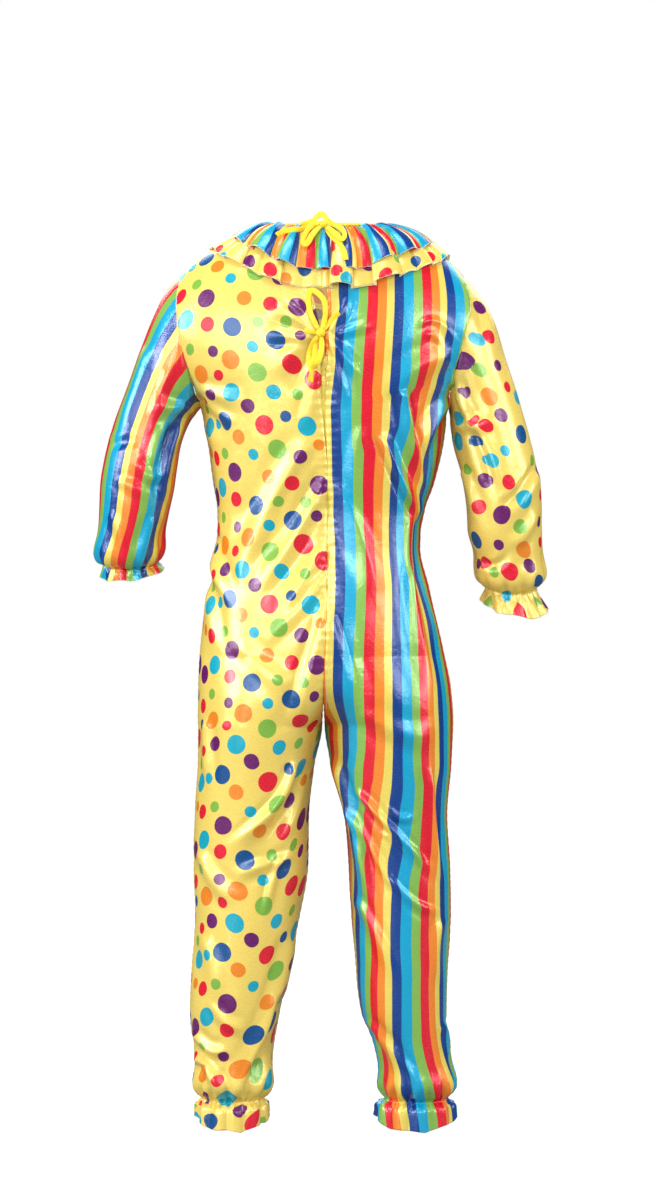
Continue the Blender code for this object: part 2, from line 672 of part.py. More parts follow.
def ruffle_points():
    """Points all over the collar's crests and the outside of the binding, at the back of the neck,
    and a little way past them."""
    points = []
    for step in range(-60, 61):
        turn = (step / 400) % 1.0
        points += [collar_point(turn, "upper", row / 24, crest=1) for row in range(30)]
        points += [binding_point(turn, 0) - Vector((0, CLOTH, 0))]
        points += [binding_point(turn, 1) - Vector((0, CLOTH, -rise)) for rise in (0, 0.004, 0.008)]
    return [p - Vector((0, CLOTH / 2, 0)) for p in points]


def outside_knot(route, knot, half):
    """The route without what lies in the knot, from a hair off its surface."""

    def depth(point):
        return math.hypot((point.x - knot.x) / half[0], (point.z - knot.z) / half[2])

    kept = [point for point in route if depth(point) > 1.3]
    for end in (0, -1):
        if (kept[end] - knot).length < 0.024:
            direction = kept[end] - knot
            direction.y = 0
            at_edge = knot + direction * (KNOT_CLEAR / depth(kept[end]))
            kept.insert(0 if end == 0 else len(kept), at_edge)
    return kept


def tape(name, layer, flat, knot, half, material, group):
    """One stretch of a tie: a flat tape along its route, narrower where it enters the knot."""
    route = smooth_route([Vector((x, knot.y, z)) for x, z in flat], TAPE_STEP)
    route = outside_knot(route, knot, half)
    lying = TAPE_CLOTH / 2 + TAPE_CLEAR
    at_knot = knot.y + (0.5 - layer) * LAYER_STEP
    middle, normals = [], []
    for point in route:
        on_cloth = cloth_behind(point.x, point.z) - lying - layer * LAYER_STEP
        away = eased((math.hypot(point.x - knot.x, point.z - knot.z) - 0.008) / 0.012)
        point.y = min(mix(at_knot, on_cloth, away), on_cloth)
    for i, point in enumerate(route):
        ahead = (route[min(i + 1, len(route) - 1)] - route[max(i - 1, 0)]).normalized()
        sideways = ahead.cross(Vector((0, -1, 0))).normalized()
        width = TAPE_HALF_WIDTH
        if name != "neck_crossing":
            width *= mix(TAPE_BUNCHED, 1.0, eased(((point - knot).length - 0.006) / 0.012))
        middle.append([point - sideways * width, point + sideways * width])
        off = ahead.cross(sideways).normalized()
        normals.append([-off, -off])
    return add_wall(name, middle, normals, TAPE_CLOTH, material, group)


def knot_solid(name, place, half, material, group):
    shape = bmesh.new()
    bmesh.ops.create_uvsphere(shape, u_segments=12, v_segments=8, radius=1)
    bmesh.ops.scale(shape, vec=half, verts=shape.verts)
    bmesh.ops.translate(shape, vec=place, verts=shape.verts)
    mesh = bpy.data.meshes.new(name)
    shape.to_mesh(mesh)
    shape.free()
    mesh.materials.append(material)
    mesh.shade_smooth()
    group.objects.link(bpy.data.objects.new(name, mesh))


def bow(name, material, group):
    """A bow: a knot with its tapes round it."""
    sizes = KNOTS[name]
    x, z = sizes["place"]
    knot = Vector((x, cloth_behind(x, z) - sizes["rests"], z))
    knot_solid(f"{name}_knot", knot, sizes["half"], material, group)
    for tape_name, (layer, *flat) in BOWS[name].items():
        tape(tape_name, layer, flat, knot, sizes["half"], material, group)


RUFFLE_POINTS = ruffle_points()


def clear_scene():
    for old in list(bpy.data.objects):
        bpy.data.objects.remove(old)


def build():
    clear_scene()
    group = bpy.data.collections.new("clown_jumpsuit")
    bpy.context.scene.collection.children.link(group)
    dotted = finish("dotted_satin", YELLOW, 0.40)
    striped = finish("striped_satin", STRIPE_BLUE, 0.40)
    yellow_tape = finish("yellow_tape", TAPE_YELLOW, 0.65)
    cloth_of = {"left": dotted, "right": striped}
    sleeve_cloth = {"left": striped, "right": dotted}
    for side in ("left", "right"):
        for face in ("back", "front"):
            body_panel(side, face, cloth_of[side], group)
        sleeve(side, sleeve_cloth[side], group)
    collar("lower", dotted, group)
    collar("upper", striped, group)
    neck_binding(yellow_tape, group)
    bow("neck", yellow_tape, group)
    bow("back", yellow_tape, group)


build()
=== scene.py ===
"""Clown jumpsuit in satin, hollow, in the shape it is worn in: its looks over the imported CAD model.

Metres, +Z up, +X to the wearer's right, +Y to the wearer's front. `down` is a height below the origin,
which is in the middle of the neck opening.
"""

import math

import bmesh
import bpy
import numpy as np
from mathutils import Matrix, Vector, noise
from mathutils.bvhtree import BVHTree


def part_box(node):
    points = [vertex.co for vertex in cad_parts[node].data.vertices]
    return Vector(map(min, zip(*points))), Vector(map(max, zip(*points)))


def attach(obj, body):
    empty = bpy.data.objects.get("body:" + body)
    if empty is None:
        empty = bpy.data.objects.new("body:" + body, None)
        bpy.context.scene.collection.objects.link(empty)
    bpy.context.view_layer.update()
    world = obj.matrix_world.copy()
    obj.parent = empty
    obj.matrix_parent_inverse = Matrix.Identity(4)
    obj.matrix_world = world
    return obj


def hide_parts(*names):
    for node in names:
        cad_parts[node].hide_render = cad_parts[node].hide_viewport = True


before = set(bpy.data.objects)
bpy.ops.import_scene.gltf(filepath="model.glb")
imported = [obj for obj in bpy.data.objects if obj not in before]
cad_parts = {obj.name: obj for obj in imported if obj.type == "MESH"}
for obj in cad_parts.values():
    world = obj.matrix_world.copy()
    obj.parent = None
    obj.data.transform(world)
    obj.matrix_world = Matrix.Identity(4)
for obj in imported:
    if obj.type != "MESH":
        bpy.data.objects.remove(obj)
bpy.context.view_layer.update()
TAU = math.tau

# ---------------------------------------------------------------------------------------------------
# The figure. Its sizes are the CAD model's, apart from the neckline, the right shoulder and the ankles'
# elastic, which are a little different.

CLOTH = 0.0008  # how thick the satin is
NECK_TOP = -0.006
NECK_DIP = {"back": 0.002, "front": 0.071}  # how far the neckline dips at its middle
DIP_ENDS = 0.160
ARM_TOP, ARM_BOTTOM = 0.073, 0.297
CROTCH, CROTCH_RISE = 0.830, 0.115
HEM, ANKLE_ELASTIC = 1.516, 1.461
BLOUSE_TOP = 1.400  # above here the ankle's gathers are gone
CUFF_ELASTIC_RING = 11


class Table:
    """Sizes in named columns, read at any places between the rows on a smooth curve."""

    def __init__(self, names, rows):
        rows = np.array(rows, float)
        self.places = rows[:, 0]
        self.columns = dict(zip(names.split()[1:], rows[:, 1:].T))
        self.slopes = {name: self.slopes_of(column) for name, column in self.columns.items()}

    def slopes_of(self, ys):
        steps = np.diff(ys) / np.diff(self.places)
        before, after = steps[:-1], steps[1:]
        level = before * after <= 0
        inner = np.where(level, 0.0, 2 * before * after / np.where(level, 1.0, before + after))
        return np.concatenate([steps[:1], inner, steps[-1:]])

    def at(self, name, place):
        xs, ys, slopes = self.places, self.columns[name], self.slopes[name]
        place = np.clip(place, xs[0], xs[-1])
        i = np.clip(np.searchsorted(xs, place, side="right") - 1, 0, len(xs) - 2)
        width = xs[i + 1] - xs[i]
        t = (place - xs[i]) / width
        rise = ys[i + 1] - ys[i]
        bend = slopes[i] * (1 - t) - slopes[i + 1] * t
        return ys[i] + rise * (3 - 2 * t) * t * t + width * t * (1 - t) * bend


BODY = Table(
    "down left right left_in right_in back front square",
    (
        (-0.006, 0.087, 0.087, 0.000, 0.000, 0.070, 0.056, 2.0),
        (0.004, 0.122, 0.120, 0.000, 0.000, 0.079, 0.065, 2.0),
        (0.020, 0.172, 0.163, 0.000, 0.000, 0.092, 0.076, 2.1),
        (0.045, 0.222, 0.202, 0.000, 0.000, 0.104, 0.088, 2.2),
        (0.073, 0.250, 0.229, 0.000, 0.000, 0.115, 0.099, 2.3),
        (0.110, 0.276, 0.262, 0.000, 0.000, 0.124, 0.110, 2.3),
        (0.160, 0.292, 0.280, 0.000, 0.000, 0.133, 0.121, 2.3),
        (0.220, 0.266, 0.250, 0.000, 0.000, 0.137, 0.128, 2.3),
        (0.297, 0.216, 0.204, 0.000, 0.000, 0.134, 0.131, 2.3),
        (0.350, 0.203, 0.196, 0.000, 0.000, 0.129, 0.132, 2.3),
        (0.420, 0.193, 0.180, 0.000, 0.000, 0.121, 0.133, 2.3),
        (0.480, 0.186, 0.162, 0.000, 0.000, 0.116, 0.134, 2.3),
        (0.530, 0.190, 0.159, 0.000, 0.000, 0.117, 0.134, 2.3),
        (0.600, 0.199, 0.173, 0.000, 0.000, 0.126, 0.131, 2.3),
        (0.700, 0.215, 0.194, 0.000, 0.000, 0.137, 0.123, 2.3),
        (0.770, 0.219, 0.208, 0.000, 0.000, 0.137, 0.116, 2.2),
        (0.830, 0.219, 0.212, 0.001, 0.001, 0.130, 0.109, 2.1),
        (0.900, 0.220, 0.210, 0.017, 0.011, 0.121, 0.104, 2.1),
        (0.985, 0.226, 0.202, 0.029, 0.027, 0.111, 0.099, 2.1),
        (1.066, 0.227, 0.207, 0.032, 0.033, 0.104, 0.092, 2.1),
        (1.150, 0.223, 0.209, 0.046, 0.039, 0.101, 0.083, 2.1),
        (1.230, 0.228, 0.204, 0.063, 0.047, 0.097, 0.075, 2.1),
        (1.310, 0.232, 0.201, 0.078, 0.056, 0.091, 0.067, 2.1),
        (1.370, 0.227, 0.206, 0.090, 0.078, 0.083, 0.060, 2.0),
        (1.430, 0.2195, 0.2105, 0.101, 0.094, 0.073, 0.052, 2.0),
        (1.461, 0.2125, 0.2040, 0.1095, 0.0965, 0.061, 0.041, 2.0),
        (1.477, 0.2185, 0.2120, 0.1030, 0.0860, 0.069, 0.048, 2.0),
        (1.516, 0.2205, 0.2150, 0.1010, 0.0820, 0.072, 0.051, 2.0),
    ),
)
ARMHOLE = Table(
    "down left right",
    (
        (0.073, 0.250, 0.229),
        (0.120, 0.2545, 0.240),
        (0.178, 0.250, 0.231),
        (0.240, 0.233, 0.214),
        (0.297, 0.216, 0.204),
    ),
)
OPENING = Table(
    "down left right",
    (
        (-0.012, -0.016, 0.010),
        (0.060, -0.024, 0.002),
        (0.103, -0.025, -0.001),
        (0.145, -0.018, -0.002),
        (0.168, -0.0128, -0.0062),
        (0.186, -0.0116, -0.0075),
        (0.209, -0.0096, -0.0040),
        (0.240, -0.0100, -0.0042),
        (0.285, -0.0088, -0.0050),
        (0.360, -0.0040, -0.0015),
        (0.400, 0.0000, 0.0000),
    ),
)
SLEEVE_NAMES = "ring outer outer_down inner inner_down forward depth fall"
SLEEVES = {
    "left": Table(
        SLEEVE_NAMES,
        (
            (0, 0.250, 0.073, 0.216, 0.297, 0.000, 0.077, 0.000),
            (1, 0.272, 0.098, 0.221, 0.303, 0.000, 0.077, 0.000),
            (2, 0.296, 0.145, 0.226, 0.310, -0.002, 0.074, 0.000),
            (3, 0.318, 0.205, 0.232, 0.320, -0.004, 0.070, 0.000),
            (4, 0.341, 0.268, 0.240, 0.338, -0.008, 0.067, 0.000),
            (5, 0.361, 0.325, 0.248, 0.364, -0.012, 0.065, 0.001),
            (6, 0.376, 0.380, 0.253, 0.395, -0.015, 0.064, 0.003),
            (7, 0.383, 0.430, 0.258, 0.432, -0.012, 0.063, 0.006),
            (8, 0.385, 0.480, 0.268, 0.478, -0.004, 0.062, 0.009),
            (9, 0.387, 0.520, 0.279, 0.516, 0.006, 0.058, 0.012),
            (10, 0.386, 0.544, 0.2835, 0.540, 0.013, 0.053, 0.013),
            (11, 0.378, 0.558, 0.2870, 0.555, 0.018, 0.044, 0.013),
            (12, 0.380, 0.568, 0.2850, 0.561, 0.021, 0.047, 0.014),
            (13, 0.382, 0.580, 0.2810, 0.568, 0.024, 0.050, 0.014),
        ),
    ),
    "right": Table(
        SLEEVE_NAMES,
        (
            (0, 0.229, 0.073, 0.204, 0.297, 0.000, 0.077, 0.000),
            (1, 0.258, 0.106, 0.2075, 0.310, 0.000, 0.077, 0.000),
            (2, 0.284, 0.155, 0.2085, 0.325, -0.002, 0.075, 0.000),
            (3, 0.300, 0.210, 0.2105, 0.343, -0.004, 0.072, 0.000),
            (4, 0.318, 0.270, 0.2150, 0.365, -0.008, 0.070, 0.000),
            (5, 0.337, 0.330, 0.2230, 0.392, -0.012, 0.068, 0.001),
            (6, 0.352, 0.385, 0.2315, 0.420, -0.015, 0.067, 0.003),
            (7, 0.3615, 0.435, 0.2345, 0.455, -0.012, 0.066, 0.006),
            (8, 0.363, 0.490, 0.2360, 0.500, -0.004, 0.065, 0.009),
            (9, 0.3635, 0.540, 0.2475, 0.540, 0.006, 0.060, 0.012),
            (10, 0.362, 0.575, 0.2580, 0.577, 0.013, 0.054, 0.013),
            (11, 0.354, 0.600, 0.2690, 0.596, 0.018, 0.044, 0.013),
            (12, 0.362, 0.620, 0.2670, 0.608, 0.021, 0.049, 0.016),
            (13, 0.372, 0.640, 0.2640, 0.621, 0.024, 0.054, 0.018),
        ),
    ),
}
# How far down each tier's hem hangs at the back, the sides and the front. Then how far the tier lies
# off the shoulders at the neck and at the hem, and how far it swells between, at the middle and the sides.
COLLAR_TIERS = {
    "lower": {
        "back": 0.106, "left": 0.031, "right": 0.046, "front": 0.184,
        "lift": (0.0020, 0.0025), "bulge": (0.003, 0.004),
    },
    "upper": {
        "back": 0.078, "left": 0.016, "right": 0.027, "front": 0.155,
        "lift": (0.0034, 0.0060), "bulge": (0.006, 0.010),
    },
}
COLLAR_ENDS_X, COLLAR_END_GAP = 0.004, 0.002
NECK_RADIUS = 0.116
# Each knot's place across and up, its half sizes, and how far off the cloth its middle rests.
KNOTS = {
    "neck": dict(place=(-0.0068, 0.0051), half=(0.0080, 0.0075, 0.0070), rests=0.0085),
    "back": dict(place=(-0.0113, -0.1790), half=(0.0085, 0.0065, 0.0085), rests=0.0069),
}

# ---------------------------------------------------------------------------------------------------
# How the flat cut lies on the figure, the folds and the print

# How far the cloth's warp threads are outside the place they would hang at, then how much more cloth
# than the figure needs is bunched up towards the side seam.
FLAT_CUT = {
    "left": Table(
        "down shift bunched",
        (
            (-0.012, -0.040, 0.000),
            (0.110, -0.038, 0.000),
            (0.160, -0.034, 0.000),
            (0.215, -0.024, 0.010),
            (0.280, -0.014, 0.025),
            (0.350, -0.007, 0.035),
            (0.420, 0.000, 0.045),
            (0.500, 0.000, 0.050),
            (0.600, 0.000, 0.040),
            (0.830, 0.000, 0.020),
            (1.050, -0.011, 0.010),
            (1.250, 0.001, 0.005),
            (1.340, 0.000, 0.005),
            (1.430, -0.013, 0.015),
            (1.467, -0.022, 0.030),
            (1.516, -0.025, 0.030),
        ),
    ),
    "right": Table(
        "down shift bunched",
        (
            (-0.012, -0.003, 0.000),
            (0.120, -0.002, 0.000),
            (0.215, 0.003, 0.010),
            (0.320, 0.009, 0.040),
            (0.400, 0.007, 0.060),
            (0.485, 0.004, 0.080),
            (0.560, 0.002, 0.075),
            (0.690, 0.000, 0.035),
            (0.830, 0.000, 0.020),
            (1.127, 0.003, 0.005),
            (1.347, 0.000, 0.005),
            (1.420, -0.014, 0.010),
            (1.460, -0.022, 0.025),
            (1.516, -0.029, 0.025),
        ),
    ),
}

# Folds in millimetres, right of the centre and below the origin: three points of the crease, how wide
# it is at its start and its end, its height (a furrow's is below zero), how far it leans, and the
# cloth tucked away inside it.
FOLDS = {
    "back": (
        # the left half, round the bow and across the back
        (-16, 178, -50, 157, -96, 129, 6, 13, 5.6, -0.2, 6),
        (-22, 168, -40, 146, -64, 120, 6, 10, 4.2, 0.2, 4),
        (-22, 183, -56, 186, -108, 178, 6, 14, 3.6, 0.2, 4),
        (-19, 190, -38, 232, -66, 282, 9, 24, -5.6, 0.3, 4),
        (-14, 215, -22, 275, -34, 345, 7, 16, 4.0, 0.0, 3),
        (-26, 352, -104, 484, -156, 622, 16, 22, 5.0, 0.25, 4),
        (-14, 398, -60, 492, -104, 566, 13, 18, -3.6, 0.0, 0),
        (-10, 440, -62, 528, -130, 632, 13, 20, 4.6, 0.25, 4),
        (-4, 520, -44, 596, -100, 652, 12, 20, 4.0, 0.25, 3),
        (-6, 575, -50, 640, -120, 696, 12, 20, 3.2, 0.25, 2),
        (-208, 505, -190, 566, -160, 640, 10, 15, 5.0, -0.2, 7),
        (-205, 590, -196, 640, -188, 712, 12, 16, 3.6, 0.2, 4),
        (-222, 276, -196, 318, -160, 348, 8, 16, -4.4, 0.0, 5),
        (-214, 262, -176, 282, -132, 290, 8, 18, 3.0, 0.0, 2),
        (-3, 632, -26, 752, -64, 872, 15, 40, 6.5, -0.45, 2),
        (-150, 690, -96, 742, -48, 770, 16, 20, 2.6, 0.0, 0),
        # the left leg
        (-56, 886, -86, 958, -176, 1040, 10, 16, 6.0, -0.35, 13),
        (-46, 902, -66, 968, -118, 1040, 9, 18, -4.0, 0.2, 0),
        (-203, 818, -202, 872, -198, 940, 8, 10, 3.2, 0.0, 6),
        (-78, 1050, -92, 1084, -106, 1156, 7, 9, 4.2, -0.2, 4),
        (-58, 1046, -110, 1062, -160, 1082, 9, 14, 2.8, 0.0, 2),
        (-212, 1036, -190, 1086, -150, 1130, 11, 16, 3.6, 0.0, 4),
        (-60, 1178, -92, 1300, -150, 1424, 14, 18, 5.5, -0.2, 3),
        (-80, 1276, -106, 1366, -152, 1462, 13, 12, -7.5, -0.3, 7),
        (-226, 1342, -196, 1372, -160, 1366, 8, 12, 4.0, 0.0, 4),
        (-224, 1388, -196, 1408, -172, 1448, 8, 10, 4.2, 0.0, 5),
        (-192, 1290, -170, 1324, -132, 1336, 9, 13, 2.4, 0.0, 2),
        (-208, 1180, -190, 1240, -186, 1300, 14, 16, 2.6, 0.0, 2),
        # the right half
        (2, 182, 24, 212, 54, 256, 6, 11, 5.2, 0.2, 5),
        (2, 190, 19, 240, 30, 304, 6, 11, 4.4, 0.2, 4),
        (2, 176, 18, 152, 32, 114, 6, 10, 5.2, 0.2, 6),
        (4, 179, 40, 174, 82, 156, 6, 13, 3.0, 0.0, 3),
        (150, 166, 184, 158, 216, 196, 5, 6, 2.4, 0.0, 2),
        (158, 182, 180, 184, 196, 210, 5, 6, 1.8, 0.0, 1),
        (210, 214, 150, 236, 84, 296, 16, 26, 3.4, 0.0, 2),
        (206, 284, 176, 330, 154, 396, 10, 14, 5.0, 0.3, 8),
        (126, 270, 138, 330, 162, 448, 9, 11, 6.0, 0.4, 15),
        (86, 344, 120, 420, 160, 500, 10, 11, 6.4, -0.4, 17),
        (160, 470, 152, 552, 176, 664, 10, 15, -5.0, 0.0, 10),
        (140, 560, 150, 660, 186, 800, 10, 15, 3.2, 0.2, 6),
        (8, 420, 56, 520, 92, 640, 14, 24, 2.4, 0.2, 1),
        (60, 330, 44, 400, 50, 470, 12, 16, 1.8, 0.0, 1),
        (3, 640, 30, 730, 40, 812, 12, 28, 3.6, 0.3, 2),
        (60, 800, 120, 840, 190, 846, 14, 22, 2.8, 0.0, 2),
        # the right leg
        (14, 880, 48, 1002, 76, 1150, 10, 12, 6.4, 0.35, 19),
        (50, 934, 104, 998, 186, 1086, 7, 9, 4.8, 0.0, 13),
        (34, 962, 74, 1036, 120, 1124, 6, 8, 3.2, 0.0, 8),
        (104, 1076, 142, 1120, 192, 1142, 7, 9, 3.0, 0.2, 8),
        (88, 1004, 118, 1030, 146, 1066, 5, 6, 2.2, 0.0, 2),
        (100, 958, 120, 982, 150, 974, 6, 9, 2.4, 0.0, 2),
        (172, 896, 176, 1010, 190, 1096, 8, 10, 4.6, 0.3, 13),
        (46, 1116, 84, 1182, 112, 1260, 9, 13, 3.4, 0.2, 7),
        (196, 1150, 180, 1210, 186, 1270, 10, 12, 2.6, 0.0, 3),
        (66, 1322, 112, 1376, 164, 1438, 7, 9, 3.6, 0.0, 4),
        (80, 1346, 106, 1384, 138, 1432, 6, 8, 2.6, 0.0, 3),
        (190, 1330, 204, 1360, 208, 1400, 7, 8, 3.0, 0.0, 5),
        # the left sleeve
        (-250, 318, -276, 392, -284, 470, 9, 9, -7.0, 0.3, 7),
        (-318, 384, -294, 416, -268, 392, 9, 12, 3.8, 0.0, 3),
        (-362, 364, -342, 356, -306, 352, 8, 12, -2.4, 0.0, 6),
        (-352, 422, -330, 430, -300, 452, 8, 12, 2.6, 0.0, 2),
        (-300, 190, -326, 270, -356, 350, 13, 16, 3.0, 0.0, 1),
        (-262, 230, -282, 290, -296, 350, 9, 14, 2.6, 0.0, 2),
        (-232, 292, -262, 300, -300, 290, 9, 18, 3.4, 0.0, 3),
        (-366, 474, -352, 500, -340, 540, 9, 9, 2.2, 0.0, 2),
        (-290, 480, -304, 512, -318, 546, 8, 8, 3.0, 0.0, 3),
        # the right sleeve
        (240, 334, 262, 384, 284, 462, 8, 11, -5.2, 0.2, 9),
        (350, 390, 320, 438, 286, 466, 9, 11, -4.6, -0.2, 7),
        (208, 246, 226, 296, 250, 344, 7, 9, 4.2, -0.2, 9),
        (242, 92, 254, 140, 264, 188, 8, 12, -2.8, 0.0, 3),
        (300, 150, 316, 220, 336, 300, 14, 16, 2.6, 0.0, 0),
        (228, 400, 242, 440, 262, 520, 9, 13, 4.0, 0.2, 3),
        (262, 550, 284, 560, 308, 530, 6, 9, -3.0, 0.0, 5),
        (352, 470, 330, 510, 300, 530, 9, 13, 3.0, 0.0, 2),
        (214, 322, 240, 330, 284, 316, 9, 16, 2.8, 0.0, 2),
    ),
    "front": (
        (-196, 318, -140, 372, -84, 420, 12, 22, 4.2, 0.0, 3),
        (-30, 250, -96, 316, -176, 352, 14, 20, 2.8, 0.0, 1),
        (190, 316, 138, 356, 80, 398, 12, 22, 4.4, 0.0, 4),
        (24, 270, 90, 330, 160, 380, 14, 20, 2.6, 0.0, 1),
        (-186, 470, -116, 512, -30, 520, 11, 18, 3.6, 0.0, 3),
        (160, 476, 96, 520, 20, 540, 11, 18, 3.8, 0.0, 4),
        (-40, 560, -110, 640, -190, 690, 14, 20, 3.4, 0.2, 2),
        (36, 580, 110, 650, 184, 700, 14, 20, 3.6, 0.2, 3),
        (-6, 790, -74, 762, -170, 776, 11, 20, 4.4, 0.2, 5),
        (6, 786, 80, 756, 170, 764, 11, 20, 4.4, 0.2, 5),
        (-10, 822, -80, 850, -160, 836, 9, 18, 3.8, 0.0, 4),
        (10, 824, 84, 852, 168, 830, 9, 18, 4.0, 0.0, 4),
        (-60, 900, -110, 990, -190, 1050, 12, 16, 4.0, 0.2, 3),
        (50, 930, 110, 1010, 180, 1060, 12, 16, 4.2, 0.2, 4),
        (-210, 1060, -140, 1100, -70, 1092, 10, 14, 4.6, 0.0, 5),
        (196, 1078, 130, 1116, 62, 1104, 10, 14, 4.6, 0.0, 5),
        (-214, 1150, -150, 1180, -80, 1156, 9, 14, 3.2, 0.0, 3),
        (198, 1170, 140, 1196, 66, 1176, 9, 14, 3.2, 0.0, 3),
        (-220, 1300, -160, 1370, -110, 1440, 12, 12, 4.2, 0.0, 4),
        (196, 1306, 150, 1370, 104, 1440, 12, 12, 4.2, 0.0, 4),
        (-350, 330, -300, 366, -256, 392, 9, 13, 4.2, 0.0, 5),
        (-360, 420, -318, 432, -270, 424, 9, 13, 3.4, 0.0, 4),
        (336, 338, 290, 380, 238, 398, 9, 13, 4.4, 0.0, 5),
        (350, 450, 300, 470, 246, 456, 9, 13, 3.6, 0.0, 4),
        (-256, 190, -276, 260, -300, 330, 12, 15, 2.8, 0.0, 2),
        (252, 190, 266, 270, 286, 340, 12, 15, 2.8, 0.0, 2),
    ),
}

# One repeat of the dotted print in millimetres, from the centre seam outwards and downwards: how far
# across and down each dot is, its size and its colour.
DOT_REPEAT = (0.268, 0.298)
DOT_DOWN = 0.406  # where a repeat begins
LARGE, MIDDLE, SMALL = 32, 25, 19
DOTS = (
    *((12, 22, LARGE, "purple"), (57, 18, MIDDLE, "red"), (101, 6, MIDDLE, "orange")),
    *((168, 295, LARGE, "purple"), (187, 264, SMALL, "green"), (209, 22, LARGE, "cyan")),
    *((169, 42, MIDDLE, "red"), (126, 53, LARGE, "blue"), (81, 48, SMALL, "green")),
    *((58, 80, LARGE, "blue"), (16, 74, SMALL, "purple"), (98, 88, SMALL, "cyan")),
    *((169, 88, SMALL, "purple"), (140, 106, LARGE, "orange"), (98, 131, LARGE, "green")),
    *((39, 120, LARGE, "red"), (206, 118, LARGE, "orange"), (169, 128, SMALL, "red")),
    *((5, 147, LARGE, "red"), (150, 160, LARGE, "cyan"), (76, 165, MIDDLE, "cyan")),
    *((124, 186, MIDDLE, "purple"), (37, 169, SMALL, "green"), (98, 218, LARGE, "red")),
    *((60, 205, SMALL, "blue"), (25, 221, LARGE, "cyan"), (149, 237, MIDDLE, "orange")),
    *((175, 210, LARGE, "blue"), (80, 258, LARGE, "green"), (124, 266, SMALL, "cyan")),
    *((41, 271, MIDDLE, "purple"), (220, 272, MIDDLE, "red"), (213, 72, SMALL, "green")),
    *((194, 159, MIDDLE, "purple"), (224, 170, SMALL, "red"), (205, 216, SMALL, "cyan")),
    *((236, 222, LARGE, "cyan"), (244, 38, LARGE, "purple"), (246, 92, MIDDLE, "red")),
    *((247, 124, SMALL, "blue"), (246, 262, SMALL, "orange"), (8, 252, SMALL, "orange")),
    *((243, 190, SMALL, "green"), (36, 50, SMALL, "green")),
)
# The dots on the lower collar and the right sleeve as worn, in millimetres right of the centre and
# below the origin.
COLLAR_DOTS = (
    *((-182, 34, 24, "red"), (-175, 57, 25, "cyan"), (-191, 66, 22, "orange"), (-130, 57, 27, "purple")),
    *((-98, 74, 27, "red"), (-71, 88, 24, "orange"), (-37, 71, 26, "blue"), (-3, 61, 22, "red")),
    *((14, 75, 22, "red"), (34, 89, 25, "cyan"), (69, 64, 24, "purple"), (96, 81, 25, "red")),
    *((117, 52, 22, "green"), (147, 57, 24, "blue"), (172, 47, 24, "red"), (198, 46, 24, "cyan")),
)
SLEEVE_DOTS = (
    *((257, 129, MIDDLE, "purple"), (249, 183, MIDDLE, "cyan"), (272, 178, MIDDLE, "red")),
    *((225, 222, LARGE, "purple"), (252, 236, MIDDLE, "green"), (287, 227, SMALL, "purple")),
    *((266, 279, LARGE, "orange"), (225, 272, SMALL, "purple"), (300, 263, SMALL, "red")),
    *((319, 279, MIDDLE, "cyan"), (290, 311, MIDDLE, "purple"), (219, 319, MIDDLE, "cyan")),
    *((260, 330, MIDDLE, "red"), (326, 344, LARGE, "blue"), (219, 356, LARGE, "cyan")),
    *((248, 355, SMALL, "blue"), (295, 369, SMALL, "cyan"), (271, 387, MIDDLE, "cyan")),
    *((345, 386, SMALL, "green"), (236, 402, SMALL, "green"), (358, 403, MIDDLE, "purple")),
    *((264, 422, MIDDLE, "purple"), (304, 420, MIDDLE, "red"), (329, 451, LARGE, "cyan")),
    *((359, 446, SMALL, "red"), (253, 466, MIDDLE, "red"), (292, 480, LARGE, "purple")),
    *((324, 499, MIDDLE, "green"), (357, 492, SMALL, "purple"), (248, 518, LARGE, "blue")),
    *((288, 530, SMALL, "purple"), (329, 536, LARGE, "orange"), (359, 524, SMALL, "red")),
    *((253, 560, SMALL, "purple"), (267, 556, MIDDLE, "red"), (303, 574, LARGE, "red")),
    *((340, 562, MIDDLE, "purple"), (277, 576, SMALL, "green"), (354, 590, MIDDLE, "blue")),
    *((300, 612, MIDDLE, "cyan"), (353, 620, SMALL, "green"), (322, 638, LARGE, "red")),
    *((372, 628, MIDDLE, "purple"), (243, 322, SMALL, "red"), (270, 622, SMALL, "green")),
)
DOT_COLOURS = {
    "purple": (0.118, 0.005, 0.115),
    "red": (0.680, 0.005, 0.026),
    "orange": (0.760, 0.212, 0.012),
    "green": (0.185, 0.410, 0.048),
    "cyan": (0.000, 0.335, 0.465),
    "blue": (0.000, 0.066, 0.235),
}
STRIPE_REPEAT = 0.093
# Where each stripe starts, as a share of the repeat. The orange one runs over its end.
STRIPES = (
    ("orange", 0.0), ("yellow", 0.030), ("navy", 0.167), ("cyan", 0.339),
    ("green", 0.525), ("red", 0.689), ("orange", 0.869),
)
STRIPE_COLOURS = {
    "yellow": (0.750, 0.600, 0.104),
    "navy": (0.000, 0.042, 0.235),
    "cyan": (0.000, 0.330, 0.560),
    "green": (0.205, 0.430, 0.072),
    "red": (0.680, 0.004, 0.022),
    "orange": (0.800, 0.215, 0.018),
}
GROUND_YELLOW = (0.790, 0.590, 0.118)


def eased(t):
    t = np.clip(t, 0.0, 1.0)
    return t * t * (3 - 2 * t)


def signed_power(value, power):
    return np.sign(value) * np.abs(value) ** power


def mix(a, b, share):
    return a + (b - a) * share


def right_of(side):
    return 1.0 if side == "right" else -1.0


def behind(face):
    return -1.0 if face == "back" else 1.0


def unit(vectors):
    return vectors / np.maximum(np.linalg.norm(vectors, axis=-1, keepdims=True), 1e-12)


def bell(value, middle, width):
    return np.exp(-(((value - middle) / width) ** 2))


def lengths_along(points):
    """How far along a line of points each one is."""
    return np.concatenate([[0], np.cumsum(np.linalg.norm(np.diff(points, axis=0), axis=1))])


